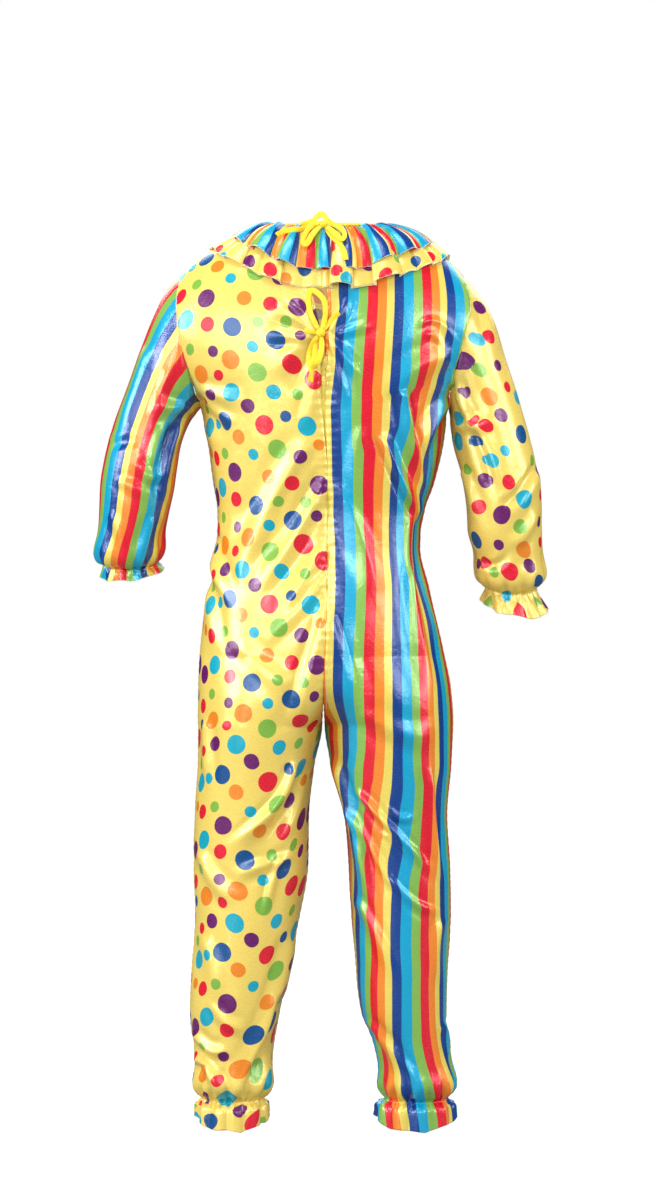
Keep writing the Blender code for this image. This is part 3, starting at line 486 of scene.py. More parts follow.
def roughness_of(points, size, stretch=(1, 1, 1), seed=0):
    """Smooth uneven bumps between -1 and 1 all over the figure, about that size."""
    flat = (points / (size * np.array(stretch))).reshape(-1, 3) + seed * 17.31
    return np.array([noise.noise(Vector(p)) for p in flat]).reshape(points.shape[:-1])


def crimped(turn, count, seed):
    """Uneven gathers round an edge: that many rounded crests, 1, with sharp troughs between, -1."""
    wide_drift = 0.009 * np.sin(TAU * (2 * turn + 0.13 * seed))
    close_drift = 0.005 * np.sin(TAU * (5 * turn + 0.31 * seed))
    phase = turn + wide_drift + close_drift
    height = 0.75 + 0.25 * np.cos(TAU * (3 * turn + 0.27 * seed)) * np.cos(TAU * (7 * turn + 0.11 * seed))
    return (2 * np.abs(np.cos(np.pi * (count * phase + 0.17 * seed))) - 1) * height


# ---------------------------------------------------------------------------------------------------
# The folds


def bent_path(start, middle, end, steps=14):
    """Points on the curve through three points."""
    t = np.linspace(0, 1, steps)[:, None]
    control = 2 * middle - (start + end) / 2
    return (1 - t) ** 2 * start + 2 * t * (1 - t) * control + t * t * end


def nearest_on(path, places):
    """For each place, how far along the path its nearest point is, from 0 to 1, and how far off it."""
    best = np.full(len(places), 1e9)
    share, off = np.zeros(len(places)), np.zeros(len(places))
    side = np.zeros((len(places), 2))
    count = len(path) - 1
    for i in range(count):
        along = path[i + 1] - path[i]
        t = np.clip(((places - path[i]) @ along) / (along @ along), 0, 1)
        gap = places - path[i] - t[:, None] * along
        distance = np.hypot(*gap.T)
        across = np.array([-along[1], along[0]]) / np.hypot(*along)
        nearer = distance < best
        best[nearer] = distance[nearer]
        share[nearer] = (i + t[nearer]) / count
        off[nearer] = gap[nearer] @ across
        side[nearer] = across
    return share, off, best, side


def folded(points, normals):
    """How far the folds move each point outwards, and how far they shift the print there."""
    shape = points.shape[:-1]
    flat, away = points.reshape(-1, 3), normals.reshape(-1, 3)
    places = np.stack([flat[:, 0], -flat[:, 2]], axis=1)
    height, slip = np.zeros(len(flat)), np.zeros((len(flat), 2))
    for face, rows in FOLDS.items():
        facing = eased(0.5 + 1.3 * away[:, 1] * behind(face))
        for row in rows:
            numbers = np.array(row[:9]) / 1000
            width, width_end, rise = numbers[6:]
            lean, tuck = row[9], row[10] / 1000
            path = bent_path(numbers[0:2], numbers[2:4], numbers[4:6])
            reach = 7 * max(width, width_end)
            low, high = path.min(0) - reach, path.max(0) + reach
            near = ((places > low) & (places < high)).all(1) & (facing > 0)
            if not near.any():
                continue
            share, off, distance, side = nearest_on(path, places[near])
            wide = mix(width, width_end, share)
            fade = eased(share / 0.18 + 0.15) * eased((1 - share) / 0.40 + 0.05)
            # Past the ends of the crease the fold dies out.
            past = np.sqrt(np.maximum(distance**2 - off**2, 0))
            fade *= eased(1 - past / (1.5 * wide)) * facing[near]
            own = wide * 1.35 * (1 + lean * np.sign(off))
            q = np.abs(off) / own
            crest = np.clip(1 - q**1.5, 0, 1) ** 2
            foot = -0.30 * bell(q, 1.15, 0.45)
            height[near] += rise * fade * (crest + foot)
            pull = 0.5 * np.tanh(off / (0.4 * wide)) * bell(off, 0, 5 * wide)
            slip[near] += (tuck * fade * pull)[:, None] * side
    return height.reshape(shape), slip.reshape(*shape, 2)


FOLD_STRENGTH = 1.7


def wrinkled(points, normals):
    """The fold heights and print shifts, with the small unevenness of worn satin."""
    height, slip = folded(points, normals)
    height *= FOLD_STRENGTH
    height += 0.0022 * roughness_of(points, 0.085, (0.8, 1, 1.7), 1)
    height += 0.0007 * roughness_of(points, 0.034, (0.8, 1, 1.8), 2)
    slip += 0.0020 * np.stack([roughness_of(points, 0.16, seed=3), roughness_of(points, 0.16, seed=4)], -1)
    return height, slip


# What elastic does to the ankles and the cuffs: how many crimps it has and their height and reach, how
# deep and wide its groove is, two rows of pleats above it (height, where, reach, how many), how far the
# cloth blouses over it (height, where, reach, start), how far the frill stands out and waves, and how
# high and long the crimps are that run into the frill.
GATHERS = {
    "ankle": {
        "crimps": 29, "crimp": (0.0032, 0.008), "groove": (0.0016, 0.0035),
        "pleats": (0.0048, 0.018, 0.016, 13), "upper_pleats": (0.0036, 0.052, 0.032, 8),
        "blouse": (0.0085, 0.026, 0.024, 0.011), "frill": (0.0015, 0.0048), "below": (0.0024, 0.016),
    },
    "cuff": {
        "crimps": 19, "crimp": (0.0026, 0.007), "groove": (0.0015, 0.0035),
        "pleats": (0.0036, 0.016, 0.014, 12), "upper_pleats": (0.0028, 0.042, 0.026, 7),
        "blouse": (0.0072, 0.025, 0.022, 0.010), "frill": (0.0020, 0.0050), "below": (0.0020, 0.012),
    },
}
FRILL_WAVES = 11


def gathered(where, above, turn, frill, seed):
    """How far the cloth stands out at a height above the elastic, all round an ankle or a cuff. frill
    is 0 at the elastic and 1 where the frill is full."""
    sizes = GATHERS[where]
    pull = np.maximum(above, 0)
    crimps = crimped(turn, sizes["crimps"], seed)
    height, reach = sizes["crimp"]
    made = height * bell(above, 0, reach) * crimps
    depth, reach = sizes["groove"]
    made -= depth * bell(above, 0, reach)
    for name, other_seed in (("pleats", seed), ("upper_pleats", seed + 1)):
        height, middle, reach, count = sizes[name]
        made += height * bell(pull, middle, reach) * (above > 0) * crimped(turn, count, other_seed)
    height, middle, reach, start = sizes["blouse"]
    made += height * bell(pull, middle, reach) * eased(pull / start)
    stand, wave = sizes["frill"]
    made += stand * frill + wave * frill * crimped(turn, FRILL_WAVES, seed + 2)
    height, reach = sizes["below"]
    made += height * (above < 0) * np.exp(above / reach) * crimps
    return made


# ---------------------------------------------------------------------------------------------------
# The body


def neck_dip(face, down, x_share):
    fade = 1 - eased((down - NECK_TOP) / (DIP_ENDS - NECK_TOP))
    return NECK_DIP[face] * fade * (1 - x_share * x_share)


def tube(side, face, down):
    """The centre and half width of the trunk or leg at a height, then its depth and squareness."""
    outer, inner = BODY.at(side, down), BODY.at(side + "_in", down)
    turned = np.clip((down - CROTCH + CROTCH_RISE) / CROTCH_RISE, 0, 1)
    reach = (outer - inner) / (1 + turned)
    return outer - reach, reach, BODY.at(face, down), BODY.at("square", down)


def off_tube(side, face, x, y, down):
    """How far a point is outside the figure: 1 is on it."""
    centre, reach, depth, square = tube(side, face, down)
    return np.abs((x - centre) / reach) ** square + np.abs(y / depth) ** square


def body_base(side, face, s, down):
    """Points and normals of the figure under a panel. s runs from the centre seam or inseam, 0, to the
    side seam, 1. Also how far the cloth is round from the panel's middle, as an angle."""
    s, down = np.broadcast_arrays(np.asarray(s, float), np.asarray(down, float))
    outer, inner = BODY.at(side, down), BODY.at(side + "_in", down)
    if face == "back":
        inner = np.where(down < OPENING.places[-1], right_of(side) * OPENING.at(side, down), inner)
    turned = np.clip((down - CROTCH + CROTCH_RISE) / CROTCH_RISE, 0, 1)
    reach = (outer - inner) / (1 + turned)
    centre = outer - reach
    square = BODY.at("square", down)
    first = -np.arcsin(turned ** (square / 2))
    in_arm = (down > ARM_TOP) & (down < ARM_BOTTOM)
    cut = np.clip((ARMHOLE.at(side, down) - centre) / reach, 0, 1)
    last = np.where(in_arm, np.arcsin(cut ** (square / 2)), np.pi / 2)
    angle = mix(first, last, s)
    x = centre + reach * signed_power(np.sin(angle), 2 / square)
    low = down + np.where(down < DIP_ENDS, neck_dip(face, down, x / outer), 0.0)
    middle, half, depth, square = tube(side, face, low)
    share = np.clip(np.abs((x - middle) / half), 0, 1)
    y = depth * (1 - share**square) ** (1 / square)
    step = 1e-3
    out = signed_power(x - middle, square - 1) * square / half**square
    back = (y / depth) ** (square - 1) * square / depth
    rise = (off_tube(side, face, x, y, low - step) - off_tube(side, face, x, y, low + step)) / (2 * step)
    points = np.stack([right_of(side) * x, behind(face) * y, -low], -1)
    normals = unit(np.stack([right_of(side) * out, behind(face) * back, rise], -1))
    return points, normals, angle


def spine_furrow(x, down):
    """How deep the back is drawn in along the spine, below the bow."""
    along_spine = eased((down - 0.22) / 0.12) * (1 - eased((down - 0.56) / 0.14))
    return 0.0065 * along_spine * bell(x, 0, 0.042)


SEAM_DEPTH, SEAM_REACH = 0.0014, 0.004
PUCKER, PUCKER_REACH = 0.0005, 0.010


def sewn_in(distance, down, pitch, wander):
    """How deep a seam pulls the cloth in at a distance from it, and how it puckers it a little."""
    depth = SEAM_DEPTH * bell(distance, 0, SEAM_REACH)
    waves = np.sin(TAU * down / pitch + 2 * np.sin(down * wander))
    return depth, PUCKER * bell(distance, 0, PUCKER_REACH) * waves


PANEL_WIDTH = 0.26  # about how far it is round from a panel's centre seam to its side seam


def body_cloth(side, face, s, down):
    """The panel's outer surface and how far the print is shifted there."""
    s, down = np.broadcast_arrays(np.asarray(s, float), np.asarray(down, float))
    points, normals, _ = body_base(side, face, s, down)
    height, slip = wrinkled(points, normals)
    if face == "back":
        height -= spine_furrow(points[..., 0], down)
    # Under the collar and along the neck the cloth lies close.
    height *= eased((down + 0.01) / 0.06 + 0.1)
    turn = s / 2 if face == "back" else 1 - s / 2
    above = ANKLE_ELASTIC - down
    frill = eased(-above / 0.045)
    seed = 1 if side == "left" else 4
    height += gathered("ankle", above, turn, eased(-above / 0.018), seed)
    closed = (face == "front") | (down > OPENING.places[-1])
    side_depth, side_pucker = sewn_in((1 - s) * PANEL_WIDTH, down, 0.012, 40)
    centre_depth, centre_pucker = sewn_in(s * PANEL_WIDTH, down, 0.014, 31)
    height += (-side_depth - closed * centre_depth) + (side_pucker + centre_pucker)
    made = points + normals * height[..., None]
    made[..., 2] += 0.0030 * frill * crimped(turn, 7, seed + 5)
    # The frill dips at the heel.
    forward = points[..., 1] / BODY.at(face, down)
    made[..., 2] += frill * (0.007 + 0.022 * np.minimum(1 + forward, 1.1))
    # The seat's seam hangs a little to the left.
    lean = 0.007 * eased((down - 0.55) / 0.25) * (1 - eased((down - 0.83) / 0.20))
    made[..., 0] -= lean * bell(made[..., 0], 0, 0.075)
    return made, slip


# Rows of a panel between its heights, and its columns. The cloth is finer where it is gathered.
PANEL_GRIDS = {"back": ((14, 76, 340, 30, 22), 92), "front": ((12, 44, 190, 24, 20), 64)}


def panel_heights(face):
    rows, ends = [], (NECK_TOP, ARM_TOP, ARM_BOTTOM, BLOUSE_TOP, ANKLE_ELASTIC, HEM)
    for start, end, count in zip(ends, ends[1:], PANEL_GRIDS[face][0]):
        t = np.arange(count) / count
        if start == ARM_TOP:
            # The rows are closest at the armhole's top and bottom.
            t = (1 - np.cos(t * np.pi)) / 2
        rows += list(mix(start, end, t))
    return np.array([*rows, HEM])


QUARTER_ROUND = 0.83  # a quarter of the way round the trunk, for each metre of its half width and depth
LEVEL = 0.45  # the height whose place in the flat cut is the same


def flat_cut(side, face, s, down):
    """Where each point of a panel lies in the flat cut: across from the centre seam, then down."""
    points, _, angle = body_base(side, face, s, down)
    heights = down[:, 0]
    steps = np.hypot(*np.moveaxis(np.diff(points[..., :2], axis=1), -1, 0))
    across = np.concatenate([np.zeros((len(heights), 1)), np.cumsum(steps, axis=1)], axis=1)
    centre, reach, depth, _ = tube(side, face, heights)
    if face == "back":
        centre = np.where(heights < OPENING.places[-1], right_of(side) * OPENING.at(side, heights), centre)
    at_middle = np.array([np.interp(0.0, angle[i], across[i]) for i in range(len(heights))])
    arc = across - at_middle[:, None]
    whole = (reach + depth)[:, None] * QUARTER_ROUND
    share = np.clip(arc / whole, 0, 1.1)
    shift, bunched = (FLAT_CUT[side].at(name, heights)[:, None] for name in ("shift", "bunched"))
    u = centre[:, None] + shift + arc + bunched * share**4
    rises = np.hypot(np.diff(points[..., 1], axis=0), np.diff(points[..., 2], axis=0))
    v = np.concatenate([np.zeros((1, rises.shape[1])), np.cumsum(rises, axis=0)])
    v += LEVEL - v[np.searchsorted(heights, LEVEL)]
    return np.stack([u, v], -1)


# ---------------------------------------------------------------------------------------------------
# Meshes and the print on them


def dot(across, down, size, colour):
    """A dot's place in the flat cut, its radius and where its colour is among the dots' colours."""
    return across, down, size / 2000, (list(DOT_COLOURS).index(colour) + 0.5) / len(DOT_COLOURS)


PRINTED_DOTS = np.array([dot(row[0] / 1000, row[1] / 1000 + DOT_DOWN, *row[2:]) for row in DOTS])


def dots_at(corners, dots, repeat):
    """The dot nearest to each face, from its corners' places in the flat cut: the corners' distances
    across and down from the dot's centre with its radius, and which colour it is."""
    middles = corners.mean(axis=1)
    nearest, found = np.full(len(middles), 1.0), np.zeros((len(middles), 4))
    for across, down, radius, kind in dots:
        centre = np.array([across, down]) + 0 * middles
        if repeat:
            centre = centre + np.round((middles - centre) / repeat) * repeat
        distance = np.hypot(*(middles - centre).T) - radius
        nearer = distance < nearest
        nearest[nearer] = distance[nearer]
        sizes = np.full((len(centre), 2), (radius, kind))
        found[nearer] = np.concatenate([centre, sizes], axis=1)[nearer]
    radii = np.repeat(found[:, None, 2:3], 4, axis=1)
    offsets = np.concatenate([corners - found[:, None, :2], radii], 2)
    return offsets, found[:, 3]


DOT_ROOM = 0.007  # the least room between a charted dot and one of the repeat
FIRST_REPEAT, REPEATS_ACROSS, REPEATS_DOWN = (-7, -4), 11, 8


def worn_dots(points, flat, normals, chart):
    """A piece's dots in its flat cut: the charted ones, and the common repeat round the front."""
    outer = normals[..., 1] < 0.1
    places, cuts, depths = points[outer][:, [0, 2]], flat[outer], points[outer][:, 1]
    charted = []
    for right, down, size, colour in chart:
        # Of two layers, the outer one has the dot.
        near = np.argmin(np.hypot(*(places - np.array([right, -down]) / 1000).T) + 0.15 * depths)
        charted.append(dot(*cuts[near], size, colour))
    charted = np.array(charted)
    hidden = []
    grid, far_side = flat.reshape(-1, 2), normals[..., 1].ravel() > 0.02
    for across, down, radius, kind in PRINTED_DOTS:
        for i, j in np.ndindex(REPEATS_ACROSS, REPEATS_DOWN):
            steps = np.array([i + FIRST_REPEAT[0], j + FIRST_REPEAT[1]])
            centre = np.array([across, down]) + steps * DOT_REPEAT
            gaps = np.hypot(*(grid - centre).T)
            room = np.hypot(*(charted[:, :2] - centre).T) - charted[:, 2] - radius
            if gaps.min() < 0.02 and far_side[np.argmin(gaps)] and (room > DOT_ROOM).all():
                hidden.append((*centre, radius, kind))
    return np.array([*charted, *hidden])


def cloth_mesh(name, points, flat, normals_out, materials, closed=False, dots=None, thickness=CLOTH):
    """A cloth piece from a grid of points, with its place in the flat cut as its UV map. A closed
    piece's last column is its first again. normals_out says which way each point's outside is."""
    rows, columns = points.shape[:2]
    wide = columns - 1 if closed else columns
    index = np.arange(rows * wide).reshape(rows, wide)
    if closed:
        index = np.concatenate([index, index[:, :1]], axis=1)
    grid = np.arange(rows * columns).reshape(rows, columns)

    def corners(numbers):
        above, below = numbers[:-1], numbers[1:]
        ring = [above[:, :-1], above[:, 1:], below[:, 1:], below[:, :-1]]
        return np.stack(ring, -1).reshape(-1, 4)

    faces, places = corners(index), corners(grid)
    across, along = np.diff(points, axis=1)[:-1], np.diff(points, axis=0)[:, :-1]
    if (np.cross(along, across) * normals_out[:-1, :-1]).sum() > 0:
        faces, places = faces[:, ::-1], places[:, ::-1]
    mesh = bpy.data.meshes.new(name)
    mesh.from_pydata(points[:, :wide].reshape(-1, 3).tolist(), [], faces.tolist())
    uv = mesh.uv_layers.new(name="flat_cut")
    uv.data.foreach_set("uv", flat.reshape(-1, 2)[places.ravel()].astype(np.float32).ravel())
    if dots is not None:
        repeat = DOT_REPEAT if dots is PRINTED_DOTS else None
        offsets, kinds = dots_at(flat.reshape(-1, 2)[places], dots, repeat)
        layer = mesh.attributes.new("dot_offset", "FLOAT_VECTOR", "CORNER")
        layer.data.foreach_set("vector", offsets.astype(np.float32).ravel())
        layer = mesh.attributes.new("dot_kind", "FLOAT", "FACE")
        layer.data.foreach_set("value", kinds.astype(np.float32))
    for material in materials:
        mesh.materials.append(material)
    mesh.shade_smooth()
    made = bpy.data.objects.new(name, mesh)
    bpy.context.scene.collection.objects.link(made)
    if thickness:
        wall = made.modifiers.new("cloth_thickness", "SOLIDIFY")
        wall.thickness, wall.offset = thickness, -1
        wall.material_offset = 1 if len(materials) > 1 else 0
    return made


def grid_normals(points, wrap=False):
    """Normals of a grid of points, the same way round as its rows and columns run."""
    if wrap:
        ring = points[:, :-1]
        across = np.roll(ring, -1, axis=1) - np.roll(ring, 1, axis=1)
        across = np.concatenate([across, across[:, :1]], axis=1)
    else:
        across = np.gradient(points, axis=1)
    return unit(np.cross(across, np.gradient(points, axis=0)))


# ---------------------------------------------------------------------------------------------------
# Materials


def new_material(name):
    made = bpy.data.materials.new(name)
    made.use_nodes = True
    return made, made.node_tree.nodes, made.node_tree.links, made.node_tree.nodes["Principled BSDF"]


def set_inputs(node, values):
    for name, value in values.items():
        node.inputs[name].default_value = value


def add_node(nodes, kind, values=None, **settings):
    """A new node with its settings and the values of its inputs."""
    made = nodes.new(kind)
    for name, value in settings.items():
        setattr(made, name, value)
    set_inputs(made, values or {})
    return made


def group_of(name, inputs, outputs):
    """A shader node group with named sockets: kind, name and default of each."""
    made = bpy.data.node_groups.new(name, "ShaderNodeTree")
    for way, sockets in (("INPUT", inputs), ("OUTPUT", outputs)):
        for kind, title, value in sockets:
            socket = made.interface.new_socket(title, in_out=way, socket_type=kind)
            if value is not None:
                socket.default_value = value
    return made, made.nodes.new("NodeGroupInput"), made.nodes.new("NodeGroupOutput")


def maths(nodes, links, operation, a, b=None):
    made = add_node(nodes, "ShaderNodeMath", operation=operation)
    for i, value in enumerate((a, b)):
        if value is None:
            continue
        if isinstance(value, (int, float)):
            made.inputs[i].default_value = value
        else:
            links.new(value, made.inputs[i])
    return made.outputs[0]


def blended(nodes, links, factor, a, b, kind="MIX"):
    made = add_node(nodes, "ShaderNodeMix", data_type="RGBA", blend_type=kind)
    for socket, value in ((made.inputs["Factor"], factor), (made.inputs["A"], a), (made.inputs["B"], b)):
        if isinstance(value, (int, float)):
            socket.default_value = value
        elif isinstance(value, tuple):
            socket.default_value = (*value, 1)
        else:
            links.new(value, socket)
    return made.outputs["Result"]


def bumped(nodes, links, height, strength, distance):
    """The normal that a height gives."""
    made = add_node(nodes, "ShaderNodeBump", {"Strength": strength, "Distance": distance})
    links.new(height, made.inputs["Height"])
    return made.outputs[0]


def colour_steps(nodes, steps, colours):
    """A colour ramp with flat steps: each step's colour and where it starts."""
    made = nodes.new("ShaderNodeValToRGB")
    ramp = made.color_ramp
    ramp.interpolation = "CONSTANT"
    for i, (name, start) in enumerate(steps):
        step = ramp.elements[i] if i < 2 else ramp.elements.new(start)
        step.position = start
        step.color = (*colours[name], 1)
    return made


def make_satin_weave():
    """Satin's surface: crushed wrinkles as a height, how much the colour and gloss vary, and how its
    long floats scatter a normal, mostly across them."""
    group, given, result = group_of(
        "satin_weave",
        [("NodeSocketVector", "Flat", None), ("NodeSocketFloat", "Float size", 0.0006)],
        [
            *(("NodeSocketFloat", "Height", None), ("NodeSocketFloat", "Unevenness", None)),
            ("NodeSocketVector", "Scatter", None),
        ],
    )
    nodes, links = group.nodes, group.links
    scaled = add_node(nodes, "ShaderNodeVectorMath", {1: (1.0, 0.22, 1.0)}, operation="MULTIPLY")
    links.new(given.outputs["Flat"], scaled.inputs[0])
    floats = add_node(nodes, "ShaderNodeTexNoise", {"Detail": 1.0})
    links.new(maths(nodes, links, "DIVIDE", 1.0, given.outputs["Float size"]), floats.inputs["Scale"])
    links.new(scaled.outputs[0], floats.inputs["Vector"])
    wrinkles = {"Scale": 42.0, "Detail": 4.0, "Roughness": 0.52, "Distortion": 0.6}
    crushed = add_node(nodes, "ShaderNodeTexNoise", wrinkles)
    links.new(given.outputs["Flat"], crushed.inputs["Vector"])
    links.new(maths(nodes, links, "MULTIPLY", crushed.outputs["Fac"], 0.0010), result.inputs["Height"])
    links.new(floats.outputs["Fac"], result.inputs["Unevenness"])
    level = add_node(nodes, "ShaderNodeVectorMath", {1: (0.5, 0.5, 0.5)}, operation="SUBTRACT")
    links.new(floats.outputs["Color"], level.inputs[0])
    links.new(level.outputs[0], result.inputs["Scatter"])
    return group


def make_scattered():
    """A normal tilted by the satin's floats: along the tangent, across the cloth, more than down it."""
    group, given, result = group_of(
        "scattered_normal",
        [
            *(("NodeSocketVector", "Normal", None), ("NodeSocketVector", "Across", None)),
            ("NodeSocketVector", "Scatter", None),
            *(("NodeSocketFloat", "Spread", 0.5), ("NodeSocketFloat", "Narrow", 0.28)),
        ],
        [("NodeSocketVector", "Normal", None)],
    )
    nodes, links = group.nodes, group.links

    def vector(operation, a, b=None, scale=None):
        made = add_node(nodes, "ShaderNodeVectorMath", operation=operation)
        links.new(a, made.inputs[0])
        if b is not None:
            links.new(b, made.inputs[1])
        if scale is not None:
            links.new(scale, made.inputs["Scale"])
        return made.outputs[0]

    parts = nodes.new("ShaderNodeSeparateXYZ")
    links.new(given.outputs["Scatter"], parts.inputs[0])
    wide = maths(nodes, links, "MULTIPLY", parts.outputs["X"], given.outputs["Spread"])
    narrow = maths(nodes, links, "MULTIPLY", parts.outputs["Y"], given.outputs["Narrow"])
    normal, across = given.outputs["Normal"], given.outputs["Across"]
    sideways = vector("SCALE", across, scale=wide)
    down = vector("SCALE", vector("CROSS_PRODUCT", normal, across), scale=narrow)
    tilted = vector("NORMALIZE", vector("ADD", vector("ADD", normal, sideways), down))
    links.new(tilted, result.inputs["Normal"])
    return group


def make_stripes():
    """The striped print: six colours in turn across the cloth, from its first yellow stripe."""
    group, given, result = group_of(
        "striped_print",
        [("NodeSocketVector", "Flat", None), ("NodeSocketFloat", "Repeat", STRIPE_REPEAT)],
        [("NodeSocketColor", "Colour", None)],
    )
    nodes, links = group.nodes, group.links
    parts = nodes.new("ShaderNodeSeparateXYZ")
    links.new(given.outputs["Flat"], parts.inputs[0])
    across = maths(nodes, links, "DIVIDE", parts.outputs["X"], given.outputs["Repeat"])
    ramp = colour_steps(nodes, STRIPES, STRIPE_COLOURS)
    links.new(maths(nodes, links, "FRACT", across), ramp.inputs[0])
    links.new(ramp.outputs["Color"], result.inputs["Colour"])
    return group


def make_dots():
    """The dotted print: dots in six colours on yellow, from how far a place is from its dot's centre."""
    group, given, result = group_of(
        "dotted_print",
        [("NodeSocketVector", "Offset", None), ("NodeSocketFloat", "Kind", 0.0)],
        [("NodeSocketColor", "Colour", None)],
    )
    nodes, links = group.nodes, group.links
    steps = [(name, i / len(DOT_COLOURS)) for i, name in enumerate(DOT_COLOURS)]
    ramp = colour_steps(nodes, steps, DOT_COLOURS)
    links.new(given.outputs["Kind"], ramp.inputs[0])
    parts = nodes.new("ShaderNodeSeparateXYZ")
    links.new(given.outputs["Offset"], parts.inputs[0])
    squares = []
    for axis in ("X", "Y"):
        distance = maths(nodes, links, "ABSOLUTE", parts.outputs[axis])
        squares.append(maths(nodes, links, "POWER", distance, 2.0))
    away = maths(nodes, links, "SQRT", maths(nodes, links, "ADD", *squares))
    edge = maths(nodes, links, "SUBTRACT", away, parts.outputs["Z"])
    inside = nodes.new("ShaderNodeMapRange")
    inside.inputs["From Min"].default_value = 0.0002
    inside.inputs["From Max"].default_value = -0.0002
    links.new(edge, inside.inputs["Value"])
    colour = blended(nodes, links, inside.outputs[0], GROUND_YELLOW, ramp.outputs["Color"])
    links.new(colour, result.inputs["Colour"])
    return group


def place_group(nodes, group):
    made = nodes.new("ShaderNodeGroup")
    made.node_tree = group
    return made


def satin(name, print_group, weave_group, scattered_group, wrong_side=False):
    """Printed polyester satin. Its wrong side is paler and dull, with the print showing through, and has a
    painted glow.
    """
    material, nodes, links, shader = new_material(name)
    flat = add_node(nodes, "ShaderNodeUVMap", uv_map="flat_cut")
    printed = place_group(nodes, print_group)
    if "Flat" in printed.inputs:
        links.new(flat.outputs[0], printed.inputs["Flat"])
    else:
        for title, output, socket in (("dot_offset", "Vector", "Offset"), ("dot_kind", "Fac", "Kind")):
            layer = add_node(nodes, "ShaderNodeAttribute", attribute_name=title)
            links.new(layer.outputs[output], printed.inputs[socket])
    weave = place_group(nodes, weave_group)
    links.new(flat.outputs[0], weave.inputs["Flat"])
    colour = printed.outputs["Colour"]
    if wrong_side:
        colour = blended(nodes, links, 0.42, colour, (0.92, 0.84, 0.52))
    shade = add_node(nodes, "ShaderNodeMapRange", {"To Min": 0.0, "To Max": 0.12})
    links.new(weave.outputs["Unevenness"], shade.inputs["Value"])
    shaded = blended(nodes, links, shade.outputs[0], colour, (1, 1, 1), "SOFT_LIGHT")
    links.new(shaded, shader.inputs["Base Color"])
    low, high = (0.60, 0.72) if wrong_side else (0.22, 0.31)
    gloss = add_node(nodes, "ShaderNodeMapRange", {"To Min": low, "To Max": high})
    links.new(weave.outputs["Unevenness"], gloss.inputs["Value"])
    links.new(gloss.outputs[0], shader.inputs["Roughness"])
    normal = bumped(nodes, links, weave.outputs["Height"], 0.5 if wrong_side else 0.8, 1.0)
    if wrong_side:
        set_inputs(shader, {"Specular IOR Level": 0.35, "Sheen Weight": 0.06, "Sheen Roughness": 0.45})
        # Painted glow: the wrong side emits its own colour, standing in for light that comes through the
        # thin cloth.
        links.new(colour, shader.inputs["Emission Color"])
        set_inputs(shader, {"Emission Strength": 0.16})
        links.new(normal, shader.inputs["Normal"])
        return material
    set_inputs(shader, {"Metallic": 0.14, "Specular IOR Level": 0.9})
    # The floats run down the cloth, so its shine spreads across it.
    across = add_node(nodes, "ShaderNodeTangent", direction_type="UV_MAP", uv_map="flat_cut")
    scattered = place_group(nodes, scattered_group)
    links.new(normal, scattered.inputs["Normal"])
    links.new(across.outputs[0], scattered.inputs["Across"])
    links.new(weave.outputs["Scatter"], scattered.inputs["Scatter"])
    links.new(scattered.outputs["Normal"], shader.inputs["Normal"])
    return material


def thread_material(name, colour):
    """Polyester sewing thread, twisted, with painted shade in the twist's grooves."""
    material, nodes, links, shader = new_material(name)
    place = nodes.new("ShaderNodeTexCoord")
    twist = add_node(nodes, "ShaderNodeTexWave", {"Scale": 900.0, "Distortion": 1.5})
    links.new(place.outputs["Object"], twist.inputs["Vector"])
    # Painted shade: the colour is darker in the twist's grooves, where the bump is lowest.
    tint = blended(nodes, links, twist.outputs["Fac"], tuple(c * 0.80 for c in colour), colour)
    links.new(tint, shader.inputs["Base Color"])
    links.new(bumped(nodes, links, twist.outputs["Fac"], 0.4, 0.0002), shader.inputs["Normal"])
    set_inputs(shader, {"Roughness": 0.45, "Sheen Weight": 0.3})
    return material


def tape_material(name, colour):
    """Folded cotton tape: a plain weave of fine ribs, with painted highlight and shade on the ribs."""
    material, nodes, links, shader = new_material(name)
    flat = add_node(nodes, "ShaderNodeUVMap", uv_map="flat_cut")
    ribs = {"Scale": 420.0, "Distortion": 2.0, "Detail": 2.0}
    weave = add_node(nodes, "ShaderNodeTexWave", ribs, bands_direction="DIAGONAL")
    links.new(flat.outputs[0], weave.inputs["Vector"])
    patches = add_node(nodes, "ShaderNodeTexNoise", {"Scale": 90.0})
    links.new(flat.outputs[0], patches.inputs["Vector"])
    tint = blended(nodes, links, patches.outputs["Fac"], tuple(c * 0.86 for c in colour), colour)
    # Painted highlight and shade: the ribs are lighter on their crests and darker in their grooves, where
    # the bump rises and falls.
    fine = blended(nodes, links, 0.25, tint, weave.outputs["Color"], "SOFT_LIGHT")
    links.new(fine, shader.inputs["Base Color"])
    links.new(bumped(nodes, links, weave.outputs["Fac"], 0.5, 0.0003), shader.inputs["Normal"])
    set_inputs(shader, {"Roughness": 0.62, "Sheen Weight": 0.25, "Sheen Roughness": 0.5})
    return material


CLOTH_GROUPS = make_satin_weave(), make_scattered()
SATIN = {}
for kind, printed in (("dotted", make_dots()), ("striped", make_stripes())):
    right_side = satin(f"{kind}_satin", printed, *CLOTH_GROUPS)
    SATIN[kind] = [right_side, satin(f"{kind}_satin_wrong_side", printed, *CLOTH_GROUPS, wrong_side=True)]
TAPE = tape_material("yellow_tape", (0.900, 0.650, 0.006))
PALE_THREAD = thread_material("pale_thread", (0.82, 0.88, 0.86))

# ---------------------------------------------------------------------------------------------------
# Camera, floor and lights


FLOOR_HALF, FLOOR_HEIGHT = 14.0, -1.545
CAMERA_AWAY, CAMERA_HEIGHT, SEEN_HALF = 6.0, -0.62, 1.014  # SEEN_HALF is half the height in view
SENSOR = 36
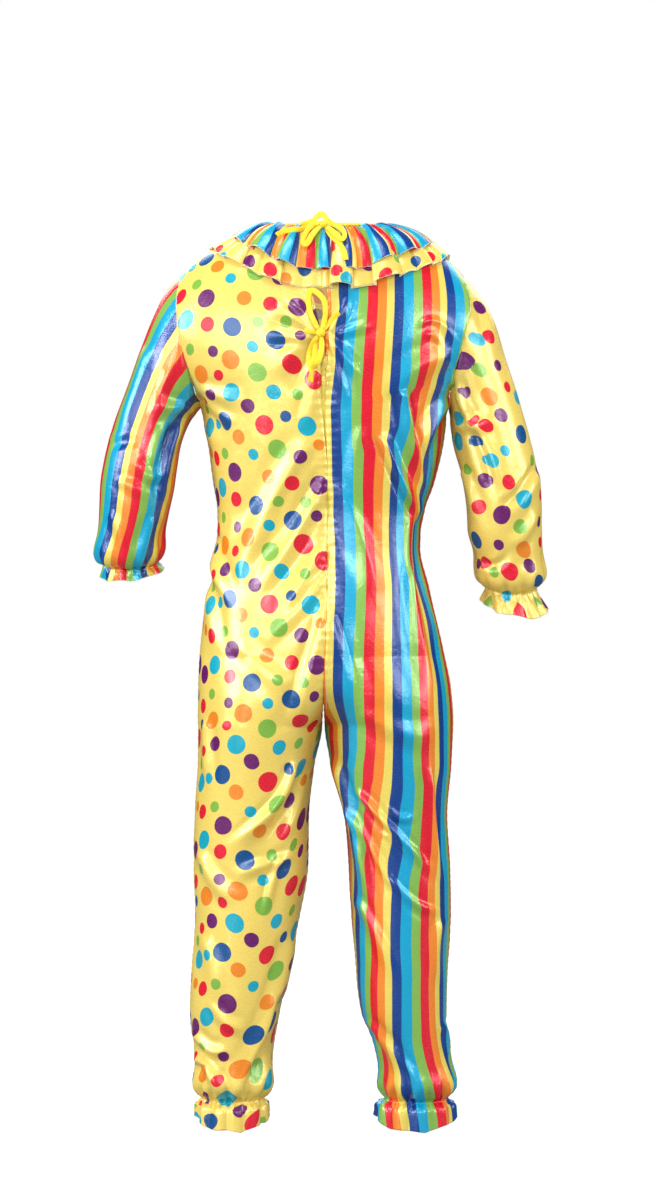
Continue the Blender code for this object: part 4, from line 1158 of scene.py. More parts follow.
# Each softbox: where it is, the height it points at, its width and height, and its power in watts.
SOFTBOXES = {
    "left_softbox": ((-2.9, -4.3, 0.3), -0.55, (1.3, 3.0), 62),
    "key_softbox": ((-1.1, -4.9, 0.7), -0.45, (0.6, 1.3), 66),
    "left_side_softbox": ((-4.3, -1.8, 0.8), -0.55, (1.2, 2.4), 138),
    "right_softbox": ((3.3, -3.9, 1.0), -0.5, (1.0, 2.0), 68),
    "right_side_softbox": ((4.2, -1.2, 0.6), -0.55, (1.2, 2.4), 72),
    "top_softbox": ((-0.3, -1.5, 2.5), -0.2, (1.8, 1.0), 42),
    "front_left_softbox": ((-1.5, 3.7, 2.5), -0.6, (2.4, 3.0), 78),
    "front_right_softbox": ((1.8, 3.4, 2.2), -0.6, (2.2, 3.0), 48),
}


def softbox(name, place, aim_height, size, power):
    """A rectangular light that points at the figure's axis."""
    data = bpy.data.lights.new(name, "AREA")
    data.shape, data.size, data.size_y = "RECTANGLE", *size
    data.energy = power
    made = bpy.data.objects.new(name, data)
    made.location = place
    made.rotation_euler = (Vector((0, 0, aim_height)) - Vector(place)).to_track_quat("-Z", "Y").to_euler()
    bpy.context.scene.collection.objects.link(made)


def set_camera(scene):
    """A camera straight behind the figure."""
    camera = bpy.data.objects.new("camera", bpy.data.cameras.new("camera"))
    camera.location = (0, -CAMERA_AWAY, CAMERA_HEIGHT)
    camera.rotation_euler = (math.pi / 2, 0, 0)
    camera.data.sensor_width = SENSOR
    camera.data.lens = SENSOR / 2 / (SEEN_HALF / CAMERA_AWAY)
    scene.collection.objects.link(camera)
    scene.camera = camera


def set_floor(scene):
    mesh = bpy.data.meshes.new("floor")
    signs = ((-1, -1), (1, -1), (1, 1), (-1, 1))
    corners = [(x * FLOOR_HALF, y * FLOOR_HALF, FLOOR_HEIGHT) for x, y in signs]
    mesh.from_pydata(corners, [], [(0, 1, 2, 3)])
    floor = bpy.data.objects.new("floor", mesh)
    scene.collection.objects.link(floor)
    pale, nodes, links, shader = new_material("pale_floor")
    set_inputs(shader, {"Base Color": (0.13, 0.13, 0.13, 1), "Roughness": 0.6})
    # Only the camera sees it as white as the walls. It lights the cloth less than a white floor would.
    shader.inputs["Emission Color"].default_value = (1, 1, 1, 1)
    sight = nodes.new("ShaderNodeLightPath")
    glow = maths(nodes, links, "MULTIPLY", sight.outputs["Is Camera Ray"], 0.97)
    links.new(glow, shader.inputs["Emission Strength"])
    mesh.materials.append(pale)


def set_walls(scene):
    """White walls, as the world's light."""
    world = bpy.data.worlds.new("studio")
    world.use_nodes = True
    nodes, links = world.node_tree.nodes, world.node_tree.links
    # The walls look white, but light the cloth only softly.
    fill = nodes["Background"]
    fill.inputs["Color"].default_value = (1, 0.99, 0.97, 1)
    seen = add_node(nodes, "ShaderNodeBackground", {"Color": (1, 1, 1, 1), "Strength": 1.0})
    path, both = nodes.new("ShaderNodeLightPath"), nodes.new("ShaderNodeMixShader")
    dim = maths(nodes, links, "MULTIPLY", path.outputs["Is Glossy Ray"], -0.74)
    links.new(maths(nodes, links, "ADD", dim, 0.78), fill.inputs["Strength"])
    links.new(path.outputs["Is Camera Ray"], both.inputs["Fac"])
    links.new(fill.outputs[0], both.inputs[1])
    links.new(seen.outputs[0], both.inputs[2])
    links.new(both.outputs[0], nodes["World Output"].inputs["Surface"])
    scene.world = world


def set_stage():
    scene = bpy.context.scene
    set_camera(scene)
    set_floor(scene)
    set_walls(scene)
    scene.view_settings.view_transform = "Standard"
    for name, sizes in SOFTBOXES.items():
        softbox(name, *sizes)


# ---------------------------------------------------------------------------------------------------
# The cloth pieces

FRONT_CUT_LOWER = 0.11  # how much lower in the print's repeat the front panels are cut


def body_panel(side, face):
    """A front or back panel."""
    columns = np.linspace(0, 1, PANEL_GRIDS[face][1] + 1)
    down, s = np.meshgrid(panel_heights(face), columns, indexing="ij")
    points, slip = body_cloth(side, face, s, down)
    _, normals, _ = body_base(side, face, s, down)
    flat = flat_cut(side, face, s, down)
    flat += slip * np.array([right_of(side), 1.0])
    if face == "front":
        flat[..., 1] += FRONT_CUT_LOWER
    kind = "dotted" if side == "left" else "striped"
    dots = PRINTED_DOTS if kind == "dotted" else None
    return cloth_mesh(f"satin_{face}_{side}", points, flat, normals, SATIN[kind], dots=dots)


def armhole_height(turn):
    return mix(ARM_TOP, ARM_BOTTOM, (1 - np.cos(turn * TAU)) / 2)


TWIST = Table("ring amount", ((0, 0.0), (3, 0.030), (7, 0.042), (11, 0.092), (13, 0.092)))
SLEEVE_GRIDS = ((0, 9, 83), (9, 11, 25), (11, 13, 19))  # steps between rings of the sleeve's table
SLEEVE_COLUMNS = 100
SLEEVE_GIRTH = 0.42
FRILL_START = {"left": 0.022, "right": 0.034}  # how far below the elastic a frill is full
ARMHOLE_GAP = 0.0004
SEAM_GROOVE, GROOVE_REACH = 0.0012, 0.004
CAP_CRIMPS, CAP_CRIMP, CAP_REACH, CAP_SHARE = 44, 0.0012, 0.022, 0.22
LEVEL_RING, LEVEL_RING_DOWN = 7, 0.27
SLEEVE_CUT = {"left": 0.0618, "right": 0.31}  # where in the print's repeat each sleeve's underarm is cut
RIGHT_CUT_DOWN = 0.30


def sleeve_cloth(side):
    """A sleeve, from the armhole to the hem of its frill, closed at the underarm."""
    turns = np.linspace(0.5, 1.5, SLEEVE_COLUMNS + 1)
    rings = [np.linspace(start, end, count, endpoint=False) for start, end, count in SLEEVE_GRIDS]
    rings = np.concatenate([*rings, [SLEEVE_GRIDS[-1][1]]])
    ring, turn = np.meshgrid(rings, turns, indexing="ij")
    angle = turn * TAU
    at = {name: SLEEVES[side].at(name, ring) for name in SLEEVE_NAMES.split()[1:]}
    sign = right_of(side)
    out = np.cos(angle) / 2
    x = mix(at["inner"], at["outer"], 0.5 + out)
    z = -mix(at["inner_down"], at["outer_down"], 0.5 + out) - at["fall"] * np.sin(angle)
    y = at["forward"] - at["depth"] * np.sin(angle)
    points = np.stack([sign * x, y, z], -1)
    heights = armhole_height(turns)
    hole = np.where(
        (np.sin(turns * TAU) >= 0)[:, None],
        body_cloth(side, "back", np.ones(len(turns)), heights)[0],
        body_cloth(side, "front", np.ones(len(turns)), heights)[0],
    )
    hole[:, 0] += sign * ARMHOLE_GAP
    start = eased(ring / 1.5)[..., None]
    points = hole[None] * (1 - start) + points * start
    normals = grid_normals(points, wrap=True)
    middle = points.mean(axis=1, keepdims=True)
    if ((points - middle) * normals).sum() < 0:
        normals = -normals
    length = lengths_along(points.mean(axis=1))[:, None] + 0 * turn
    above = length[np.searchsorted(rings, CUFF_ELASTIC_RING)][None] - length
    height, slip = wrinkled(points, normals)
    height *= eased(length / 0.05)
    seed = 2 if side == "left" else 6
    frill = eased(-above / FRILL_START[side])
    height += gathered("cuff", above, turn, frill, seed)
    groove = bell(length, 0, GROOVE_REACH)
    height -= SEAM_GROOVE * groove
    # The top of the sleeve is eased into the armhole.
    cap = bell(length, 0, CAP_REACH) * eased(1 - np.abs(((turn + 0.5) % 1) - 0.5) / CAP_SHARE)
    height += CAP_CRIMP * cap * (1 - groove) * crimped(turn, CAP_CRIMPS, seed)
    points = points + normals * height[..., None]
    points[..., 2] += 0.0025 * frill * crimped(turn, 6, seed + 3)
    steps = np.linalg.norm(np.diff(points, axis=0), axis=2)
    down_cloth = np.concatenate([np.zeros((1, SLEEVE_COLUMNS + 1)), np.cumsum(steps, axis=0)])
    # The cap is cut in a curve, so its top starts higher in the flat cut than the underarm.
    level = down_cloth[np.searchsorted(rings, LEVEL_RING)]
    down_cloth = down_cloth - level[None] + LEVEL_RING_DOWN
    across = SLEEVE_CUT[side] - SLEEVE_GIRTH * (turn + TWIST.at("amount", ring))
    if side == "left":
        flat = np.stack([across, down_cloth], -1)
        flat += slip * np.array([1.0, 1.0])
        kind, dots = "striped", None
    else:
        flat = np.stack([across, RIGHT_CUT_DOWN - down_cloth], -1)
        dots = worn_dots(points, flat, normals, SLEEVE_DOTS)
        flat += slip * np.array([-1.0, -1.0])
        kind = "dotted"
    name = f"satin_sleeve_{side}"
    made = cloth_mesh(name, points, flat, normals, SATIN[kind], closed=True, dots=dots)
    return made, points


PLACKET_TOP, PLACKET_BOTTOM = 0.192, 0.425
PLACKET_PAST = {"right": 0.003, "left": -0.012}  # how far across it reaches past each edge
PLACKET_UNDER, PLACKET_WAVE = 0.0034, 0.0006


def placket():
    """The strip on the right panel's opening edge that lies under the left edge."""
    heights = np.linspace(PLACKET_TOP, PLACKET_BOTTOM, 60)
    down, across = np.meshgrid(heights, np.linspace(0, 1, 9), indexing="ij")
    right, left = (OPENING.at(side, down) + past for side, past in PLACKET_PAST.items())
    x = mix(right, left, across)
    depth = BODY.at("back", down) * (1 - np.abs(x / BODY.at("left", down)) ** 2.3) ** (1 / 2.3)
    y = -depth + spine_furrow(x, down) + PLACKET_UNDER + PLACKET_WAVE * np.sin(down * 160)
    points = np.stack([x, y, -down], -1)
    # It is cut from within a yellow stripe.
    flat = np.stack([0.0040 + 0.0015 * across, down], -1)
    outwards = np.array([0, -1.0, 0]) + 0 * points
    return cloth_mesh("satin_placket", points, flat, outwards, SATIN["striped"])


# Flutes of each collar tier, along its hem in millimetres from the centre back: how wide each is, how
# high, how much of its width folds in under it on each side, and how far it leans. The rest, round the
# front, are made up.
FLUTES = {
    ("upper", "right"): (
        *((18, 6, 0.16, 0), (21, 9, 0.24, -2), (27, 4, 0.12, 0), (29, 14, 0.30, 3), (23, 5, 0.15, 0)),
        *((30, 13, 0.30, 4), (25, 6, 0.18, 0), (30, 11, 0.28, 3), (26, 6, 0.18, 0)),
    ),
    ("upper", "left"): (
        *((25, 8, 0.20, 2), (36, 6, 0.16, 0), (27, 11, 0.30, -4), (23, 6, 0.18, 0), (40, 13, 0.26, -3)),
        *((27, 6, 0.18, 0), (34, 12, 0.28, -2), (24, 6, 0.18, 0)),
    ),
    ("lower", "right"): (
        *((31, 14, 0.30, -2), (44, 2, 0.05, 0), (46, 13, 0.27, -4), (40, 3, 0.08, 0), (40, 7, 0.18, 3)),
        *((36, 4, 0.12, 0), (42, 9, 0.24, 0)),
    ),
    ("lower", "left"): (
        *((14, 2, 0.04, 0), (34, 3, 0.04, 0), (40, 2, 0.05, 0), (44, 7, 0.14, 3), (40, 3, 0.08, 0)),
        *((46, 8, 0.18, -3), (36, 4, 0.14, 0), (44, 9, 0.22, 0)),
    ),
}
COLLAR_HEM = {"upper": 1060, "lower": 1290}  # round the shoulders under the hem
COLLAR_DEEP = {"upper": 0.088, "lower": 0.118}
FLUTE_COLUMNS, COLLAR_ROWS = 16, 26


def collar_base(turn, tier, share):
    """Points of the shoulders under the collar."""
    angle = turn * TAU
    sizes = COLLAR_TIERS[tier]
    out = np.abs(np.sin(angle))
    right = (turn % 1.0) < 0.5
    back = np.cos(angle) >= 0
    points = np.zeros((*np.broadcast(turn, share).shape, 3))
    for side, here in (("right", right), ("left", ~right)):
        for face, there in (("back", back), ("front", ~back)):
            x = out * BODY.at(side, mix(NECK_TOP, sizes[side], share))
            neck = NECK_TOP + NECK_DIP[face] * (1 - out * out)
            hem = mix(sizes[face], sizes[side], out * out)
            down = mix(neck, hem, share)
            square, half = BODY.at("square", down), BODY.at(side, down)
            y = BODY.at(face, down) * (1 - np.minimum(x / half, 1) ** square) ** (1 / square)
            chosen = here & there
            made = np.stack([right_of(side) * x, behind(face) * y, -down], -1)
            points[chosen] = made[chosen]
    return points


def collar_turns(columns):
    start = COLLAR_ENDS_X / NECK_RADIUS / TAU
    gap = COLLAR_END_GAP / NECK_RADIUS / TAU
    return start + gap / 2 + (1 - gap) * np.linspace(0, 1, columns + 1)


def all_flutes(tier):
    """Every flute of a tier from the right end, over both shoulders, to the left end."""
    right, left = FLUTES[tier, "right"], FLUTES[tier, "left"]
    source = np.random.default_rng(11 if tier == "upper" else 23)
    room = COLLAR_HEM[tier] - sum(row[0] for row in right + left)
    usual = 29 if tier == "upper" else 40
    count = round(room / usual)
    widths = source.uniform(0.75, 1.25, count)
    widths *= room / widths.sum()
    front = []
    for i, width in enumerate(widths):
        high = (i % 2) == 0
        rise = source.uniform(9, 13) if high else source.uniform(4, 7)
        front.append((width, rise, source.uniform(0.24, 0.30) if high else 0.16, source.uniform(-3, 3)))
    return [*right, *front, *left[::-1]]


def spread_at_neck(turn):
    """Where a line of the collar's cloth starts at the neck: nearer the sides than at the hem."""
    signed = (turn + 0.5) % 1.0 - 0.5
    share = np.clip(np.abs(signed) / 0.25, 0, 1)
    return turn + 0.30 * signed * (1 - share**2)


# How the collar's cloth is cut from the print: the striped tier's start, and how far into a repeat its
# other end comes, so that its two ends are red and navy. Then where the dotted tier starts.
STRIPED_START, STRIPED_REST = 0.0745, 0.0575
DOTTED_START = (0.222, 0.53)
SHOULDER_STEPS = 240  # how finely the shoulders' outward directions are worked out
TUCK_STRENGTH, LEAN_STRENGTH, FLUTE_STRENGTH = 1.2, 2.4, 1.45


def collar_cloth(tier):
    """A tier of the collar: gathered at the neck, with flutes that open towards the hem."""
    place, tuck, rise, lean, phase = [], [], [], [], []
    start = 0.0
    steps = np.arange(FLUTE_COLUMNS) / FLUTE_COLUMNS
    swell = (1 - np.cos(TAU * steps)) / 2
    for width, high, under, leaning in all_flutes(tier):
        place += list(start + width * steps)
        tuck += list(-under * width * np.sin(TAU * steps))
        rise += list(high * swell)
        lean += list(LEAN_STRENGTH * leaning * swell)
        phase += list(steps)
        start += width
    place = np.array([*place, start])
    tuck, rise, lean, phase = (np.array([*column, 0.0]) for column in (tuck, rise, lean, phase))
    share = np.linspace(0, 1, COLLAR_ROWS)[:, None]
    first, last = collar_turns(1)
    opening = eased(share / 0.75)
    along = place[None] + TUCK_STRENGTH * tuck[None] * opening + lean[None] * opening * share
    turn = mix(first, last, along / start)
    hem_turn = turn
    turn = mix(spread_at_neck(hem_turn), hem_turn, share**0.9)
    sizes = COLLAR_TIERS[tier]
    drop = 1 - 0.05 * (rise / 12)[None] * share + 0.03 * crimped(turn, 9, 3) * share
    reach = share * drop
    base = collar_base(turn, tier, reach)
    smooth_turn = mix(first, last, np.linspace(0, 1, SHOULDER_STEPS + 1))[None] + 0 * share
    smooth = collar_base(smooth_turn, tier, share + 0 * smooth_turn)
    away = grid_normals(smooth)
    upward = np.stack([smooth[..., 0] * 0, smooth[..., 1], np.full(smooth.shape[:2], 0.12)], -1)
    away[(away * upward).sum(-1) < 0] *= -1
    level = unit(smooth * np.array([1, 1, 0]))
    level = unit(away * 0.8 + level * 0.2)
    spots = (turn - first) / (last - first) * SHOULDER_STEPS

    def spread(field):
        made = np.empty((*turn.shape, 3))
        for r in range(COLLAR_ROWS):
            for axis in range(3):
                made[r, :, axis] = np.interp(spots[r], np.arange(SHOULDER_STEPS + 1), field[r, :, axis])
        return unit(made)

    out = np.abs(np.sin(turn * TAU))
    bulge = mix(*sizes["bulge"], out**2) * np.sin(np.pi * share**0.85)
    lift = mix(*sizes["lift"], share**1.4) + bulge + 0.0006 * share * roughness_of(base, 0.020, seed=9)
    small = np.cos(TAU * 2 * phase)[None] * bell(share, 0.12, 0.16)
    lift = lift + 0.0022 * small
    # Over the shoulders the tier lies closer.
    opened = 0.30 * (1 - share) * eased(share / 0.15) + share
    flute = rise[None] / 1000 * FLUTE_STRENGTH * opened * (1 - 0.62 * out**4)
    points = base + spread(away) * lift[..., None] + spread(level) * flute[..., None]
    across = lengths_along(points[-1])
    total = across[-1]
    if tier == "upper":
        repeats = round((total - STRIPED_REST) / STRIPE_REPEAT)
        across *= (STRIPED_REST + repeats * STRIPE_REPEAT) / total
        begins = (STRIPED_START, 0.0)
    else:
        begins = DOTTED_START
    deep = COLLAR_DEEP[tier] * share + 0 * across[None]
    flat = np.stack([begins[0] - across[None] + 0 * share, begins[1] + deep], -1)
    outwards = spread(away)
    dots = None if tier == "upper" else worn_dots(points, flat, outwards, COLLAR_DOTS)
    kind = "striped" if tier == "upper" else "dotted"
    made = cloth_mesh(f"satin_collar_{tier}", points, flat, outwards, SATIN[kind], dots=dots)
    return made, points


def neck_binding():
    """The folded tape that the neckline and the collar's gathers are held in."""
    turns = collar_turns(300)[4:-4]
    edge = collar_base(turns, "upper", 0.0 * turns)
    below = collar_base(turns, "upper", 0.12 + 0 * turns)
    downwards = unit(below - edge)
    along = unit(np.gradient(edge, axis=0))
    off = np.cross(along, downwards)
    off[off @ np.array([0, 0, 1.0]) < 0] *= -1
    off = unit(off)
    section = (
        *((0.0052, 0.0056), (0.0034, 0.0068), (0.0010, 0.0070), (-0.0022, 0.0062), (-0.0036, 0.0040)),
        *((-0.0036, 0.0010), (-0.0028, -0.0014), (0.0000, -0.0024), (0.0026, -0.0026), (0.0056, -0.0024)),
    )
    rows = []
    for reach, out in section:
        waver = 1 + 0.05 * crimped(turns, 38, 2)
        rows.append(edge + downwards * reach + off * (out * waver)[:, None])
    points = np.array(rows)
    normals = grid_normals(points)
    centre = points.mean(axis=0, keepdims=True)
    if ((points - centre) * normals).sum() < 0:
        normals = -normals
    length = lengths_along(edge)
    across = np.linspace(0, 0.026, len(section))
    flat = np.stack(np.meshgrid(length, across, indexing="xy"), -1)
    return cloth_mesh("binding_tape", points, flat, normals, [TAPE], thickness=0.0007)


# ---------------------------------------------------------------------------------------------------
# The ties

TAPE_WIDTH, TAPE_THICK, TAPE_BUNCHED = 0.0094, 0.0012, 0.66
TAPE_SIDES = 16
TAPE_CLEAR = 0.0009  # how far the tape's underside is off the cloth
LAYER_STEP = 0.0049
# Each stretch of tape: its layer, counted outwards from the cloth, and how far it turns on its edge at
# its far end, then its points right of the centre and above the origin.
BOWS = {
    "neck": {
        "neck_crossing": (
            *(0, 8, (-0.0440, 0.0062), (-0.0330, 0.0090), (-0.0235, 0.0135), (-0.0172, 0.0200)),
            *((-0.0108, 0.0240), (-0.0046, 0.0200), (0.0006, 0.0120), (0.0090, 0.0066)),
        ),
        "neck_tail_left": (
            *(0, 12, (-0.0068, 0.0051), (-0.0270, 0.0010), (-0.0456, -0.0035)),
            *((-0.0640, -0.0050), (-0.0790, -0.0105), (-0.0845, -0.0145)),
        ),
        "neck_tail_right": (
            *(0, -15, (-0.0068, 0.0051), (0.0060, -0.0140), (0.0190, -0.0290)),
            *((0.0270, -0.0430), (0.0305, -0.0580)),
        ),
        "neck_loop_left": (
            *(2, 16, (-0.0068, 0.0051), (-0.0195, 0.0060), (-0.0300, -0.0020)),
            *((-0.0370, -0.0145), (-0.0400, -0.0260), (-0.0372, -0.0312), (-0.0318, -0.0272)),
            *((-0.0262, -0.0160), (-0.0185, -0.0050), (-0.0068, 0.0051)),
        ),
        "neck_loop_right": (
            *(2, -16, (-0.0068, 0.0051), (0.0055, 0.0060), (0.0185, 0.0004)),
            *((0.0268, -0.0090), (0.0280, -0.0185), (0.0238, -0.0222), (0.0170, -0.0168)),
            *((0.0070, -0.0070), (-0.0068, 0.0051)),
        ),
    },
    "back": {
        "back_strands": (
            *(0, 10, (-0.0372, -0.1741), (-0.0254, -0.1775), (-0.0113, -0.1790)),
            *((0.0000, -0.1656), (0.0085, -0.1563), (0.0186, -0.1453)),
        ),
        "back_tail": (
            *(0, 20, (-0.0113, -0.1790), (-0.0186, -0.1977)),
            *((-0.0220, -0.2214), (-0.0254, -0.2417), (-0.0287, -0.2603)),
        ),
        "back_loop_upper": (
            *(1, 22, (-0.0113, -0.1790), (-0.0203, -0.1639), (-0.0287, -0.1437)),
            *((-0.0321, -0.1200), (-0.0270, -0.1082), (-0.0152, -0.1132)),
            *((-0.0051, -0.1268), (-0.0034, -0.1470), (-0.0068, -0.1656), (-0.0113, -0.1790)),
        ),
        "back_loop_lower": (
            *(1, -14, (-0.0113, -0.1790), (-0.0215, -0.1927), (-0.0285, -0.2079)),
            *((-0.0310, -0.2245), (-0.0270, -0.2350), (-0.0180, -0.2315)),
            *((-0.0110, -0.2129), (-0.0095, -0.1944), (-0.0113, -0.1790)),
        ),
    },
}


def smooth_route(points, step):
    """Points a step apart on the smooth curve through a route's own points."""
    points = [np.array(p, float) for p in points]
    ends = [points[0] * 2 - points[1], *points, points[-1] * 2 - points[-2]]
    fine = []
    for before, a, b, after in zip(ends, ends[1:], ends[2:], ends[3:]):
        count = max(2, round(np.linalg.norm(b - a) / step))
        for t in np.arange(count) / count:
            bend = before * 2 - a * 5 + b * 4 - after
            twist = a * 3 - before - b * 3 + after
            fine.append(a + (b - before) * 0.5 * t + bend * 0.5 * t * t + twist * 0.5 * t**3)
    return np.array([*fine, points[-1]])


class Cloths:
    """The finished cloth, to lay the ties on."""

    def __init__(self, pieces):
        graph = bpy.context.evaluated_depsgraph_get()
        self.trees = [BVHTree.FromObject(piece, graph) for piece in pieces]

    def depth(self, x, z):
        """How far back the cloth is at a place, seen from behind, at its furthest within 3 mm."""
        found = []
        for dx, dz in ((0, 0), (0.003, 0), (-0.003, 0), (0, 0.003), (0, -0.003)):
            for tree in self.trees:
                hit = tree.ray_cast(Vector((x + dx, -1, z + dz)), Vector((0, 1, 0)))[0]
                if hit is not None and hit.y < 0.0:
                    found.append(hit.y)
        return min(found) if found else None


def settled(values, rounds):
    """The values with their sharp changes rounded off."""
    for _ in range(rounds):
        inner = (values[:-2] + 2 * values[1:-1] + values[2:]) / 4
        values = np.concatenate([values[:1], inner, values[-1:]])
    return values


def tape_mesh(name, route, widths, rolls, material):
    """A flat tape along a route, turned on its edge by rolls."""
    ahead = unit(np.gradient(route, axis=0))
    out = np.array([0, -1.0, 0])
    sideways = unit(np.cross(ahead, out))
    away = unit(np.cross(sideways, ahead))
    roll = rolls[:, None]
    across = sideways * np.cos(roll) + away * np.sin(roll)
    off = away * np.cos(roll) - sideways * np.sin(roll)
    length = lengths_along(route)
    ring = np.arange(TAPE_SIDES + 1) / TAPE_SIDES * TAU
    a, b = signed_power(np.cos(ring), 0.7), signed_power(np.sin(ring), 0.55)
    # It is a little thicker along its middle, and its stitched line is a groove near one edge.
    crown = 0.0006 * (1 - a * a) - 0.00045 * bell(a, 0.60, 0.13) * (b > 0)
    ripple = 0.00025 * np.sin(length / 0.0021 + 2 * np.sin(length / 0.006))
    rows = []
    for i, point in enumerate(route):
        half = widths[i] / 2
        edge = across[i][None] * (a * half)[:, None]
        thick = b * TAPE_THICK / 2 + crown + ripple[i] * (1 - a * a)
        rows.append(point + edge + off[i][None] * thick[:, None])
    points = np.array(rows)
    for end, row in ((0, 0), (-1, len(rows) - 1)):
        points[end] = route[row] + (points[end] - route[row]) * 0.985
    normals = points - route[:, None]
    round_it = (ring / TAU * 2 * TAPE_WIDTH)[None] + 0 * length[:, None]
    flat = np.stack([length[:, None] + 0 * ring[None], round_it], -1)
    made = cloth_mesh(name, points, flat, normals, [material], closed=True, thickness=0)
    # The same tube again, with its two ends closed.
    tube_mesh = made.data
    mesh = bpy.data.meshes.new(name)
    vertices = [v.co[:] for v in tube_mesh.vertices]
    faces = [tuple(p.vertices) for p in tube_mesh.polygons]
    uvs = [tuple(d.uv) for d in tube_mesh.uv_layers[0].data]
    start, last = range(TAPE_SIDES), (len(rows) - 1) * TAPE_SIDES
    faces += [tuple(start[::-1]), tuple(last + i for i in start)]
    uvs += [(0.0, 0.0)] * (2 * TAPE_SIDES)
    mesh.from_pydata(vertices, [], faces)
    layer = mesh.uv_layers.new(name="flat_cut")
    layer.data.foreach_set("uv", np.array(uvs, np.float32).ravel())
    mesh.materials.append(material)
    mesh.shade_smooth()
    made.data = mesh
    bpy.data.meshes.remove(tube_mesh)
    bmesh_outwards(mesh)
    return made


def bmesh_outwards(mesh):
    shape = bmesh.new()
    shape.from_mesh(mesh)
    bmesh.ops.recalc_face_normals(shape, faces=shape.faces)
    shape.to_mesh(mesh)
    shape.free()


def knot_mesh(name, centre, half, material):
    """A tight knot: a rounded lump with the tape's wraps crossing it."""
    rows, columns = 21, 33
    down, round_it = np.linspace(0.02, np.pi - 0.02, rows), np.linspace(0, TAU, columns)
    polar, turn = np.meshgrid(down, round_it, indexing="ij")
    ball = np.stack([np.sin(polar) * np.cos(turn), np.sin(polar) * np.sin(turn), np.cos(polar)], -1)
    tilt = ball[..., 0] * 0.80 + ball[..., 2] * 0.60
    cross = ball[..., 2] * 0.85 - ball[..., 0] * 0.52
    wraps = 0.10 * np.cos(tilt * 9.0) - 0.16 * bell(tilt, 0, 0.10) + 0.05 * np.cos(cross * 14)
    points = np.array(centre) + ball * (1 + wraps)[..., None] * np.array(half) * 0.92
    flat = np.stack([turn * 0.006, polar * 0.006], -1)
    made = cloth_mesh(name, points, flat, ball, [material], closed=True, thickness=0)
    bmesh_close(made.data)
    return made


def bmesh_close(mesh):
    shape = bmesh.new()
    shape.from_mesh(mesh)
    bmesh.ops.holes_fill(shape, edges=[e for e in shape.edges if e.is_boundary], sides=0)
    bmesh.ops.recalc_face_normals(shape, faces=shape.faces)
    for face in shape.faces:
        face.smooth = True
    shape.to_mesh(mesh)
    shape.free()


def lay_tape(name, layer, tilt, flat, knot, half, cloths):
    """One stretch of tie, lying on the cloth and drawn into its knot."""
    route = smooth_route(flat, 0.0016)
    x, z = route.T
    from_knot = np.hypot(x - knot[0], z - knot[2])
    # The tape runs a little way under the knot's wraps. What would lie deeper inside is left out.
    inside = np.hypot((x - knot[0]) / half[0], (z - knot[2]) / half[2]) < 0.75
    x, z, from_knot = x[~inside], z[~inside], from_knot[~inside]
    depths = np.array([cloths.depth(px, pz) or np.nan for px, pz in zip(x, z)], float)
    good = ~np.isnan(depths)
    places = np.arange(len(depths))
    depths = np.interp(places, places[good], depths[good])
    outward = settled(np.minimum(depths, settled(depths, 12)), 6)
    lying = outward - TAPE_THICK / 2 - TAPE_CLEAR - layer * LAYER_STEP * 0.8
    at_knot = knot[1] + (0.5 - layer) * LAYER_STEP * 0.6
    away = eased((from_knot - 0.006) / 0.012)
    y = np.minimum(mix(at_knot, lying, away), lying + 0.001)
    y = settled(y, 4)
    route = np.stack([x, y, z], -1)
    bunch = mix(TAPE_BUNCHED, 1.0, eased((from_knot - 0.005) / 0.013))
    widths = TAPE_WIDTH * bunch
    share = np.linspace(0, 1, len(x))
    looped = np.hypot(flat[0][0] - flat[-1][0], flat[0][1] - flat[-1][1]) < 1e-6
    turn = np.sin(np.pi * share) ** 2 if looped else share * np.sin(np.pi * share)
    rolls = math.radians(tilt) * turn + 0.32 * np.sin(share * 9 + len(name))
    made = tape_mesh(name, route, widths, rolls, TAPE)
    length = float(np.linalg.norm(np.diff(route, axis=0), axis=1).sum())
    return made, route, length


def tie_bow(which, cloths):
    """A bow: its knot and its ends, laid on the cloth in place of the CAD model's parts."""
    sizes = KNOTS[which]
    kx, kz = sizes["place"]
    ky = cloths.depth(kx, kz) - sizes["rests"] * 0.75
    low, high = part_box(f"{which}_knot")
    ky = min(max(ky, low.y + sizes["half"][1] * 0.4), high.y)
    knot = (kx, ky, kz)
    lump = knot_mesh(f"{which}_bow_knot", knot, sizes["half"], TAPE)
    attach(lump, "root")
    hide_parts(f"{which}_knot")
    for name, (layer, tilt, *flat) in BOWS[which].items():
        made, route, length = lay_tape(f"tie_{name}", layer, tilt, flat, knot, sizes["half"], cloths)
        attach(made, "root")
        nodes = ["back_strand_left", "back_strand_right"] if name == "back_strands" else [name]
        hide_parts(*nodes)


# ---------------------------------------------------------------------------------------------------
# Sewing: geometry nodes set a stitch at each step of a line


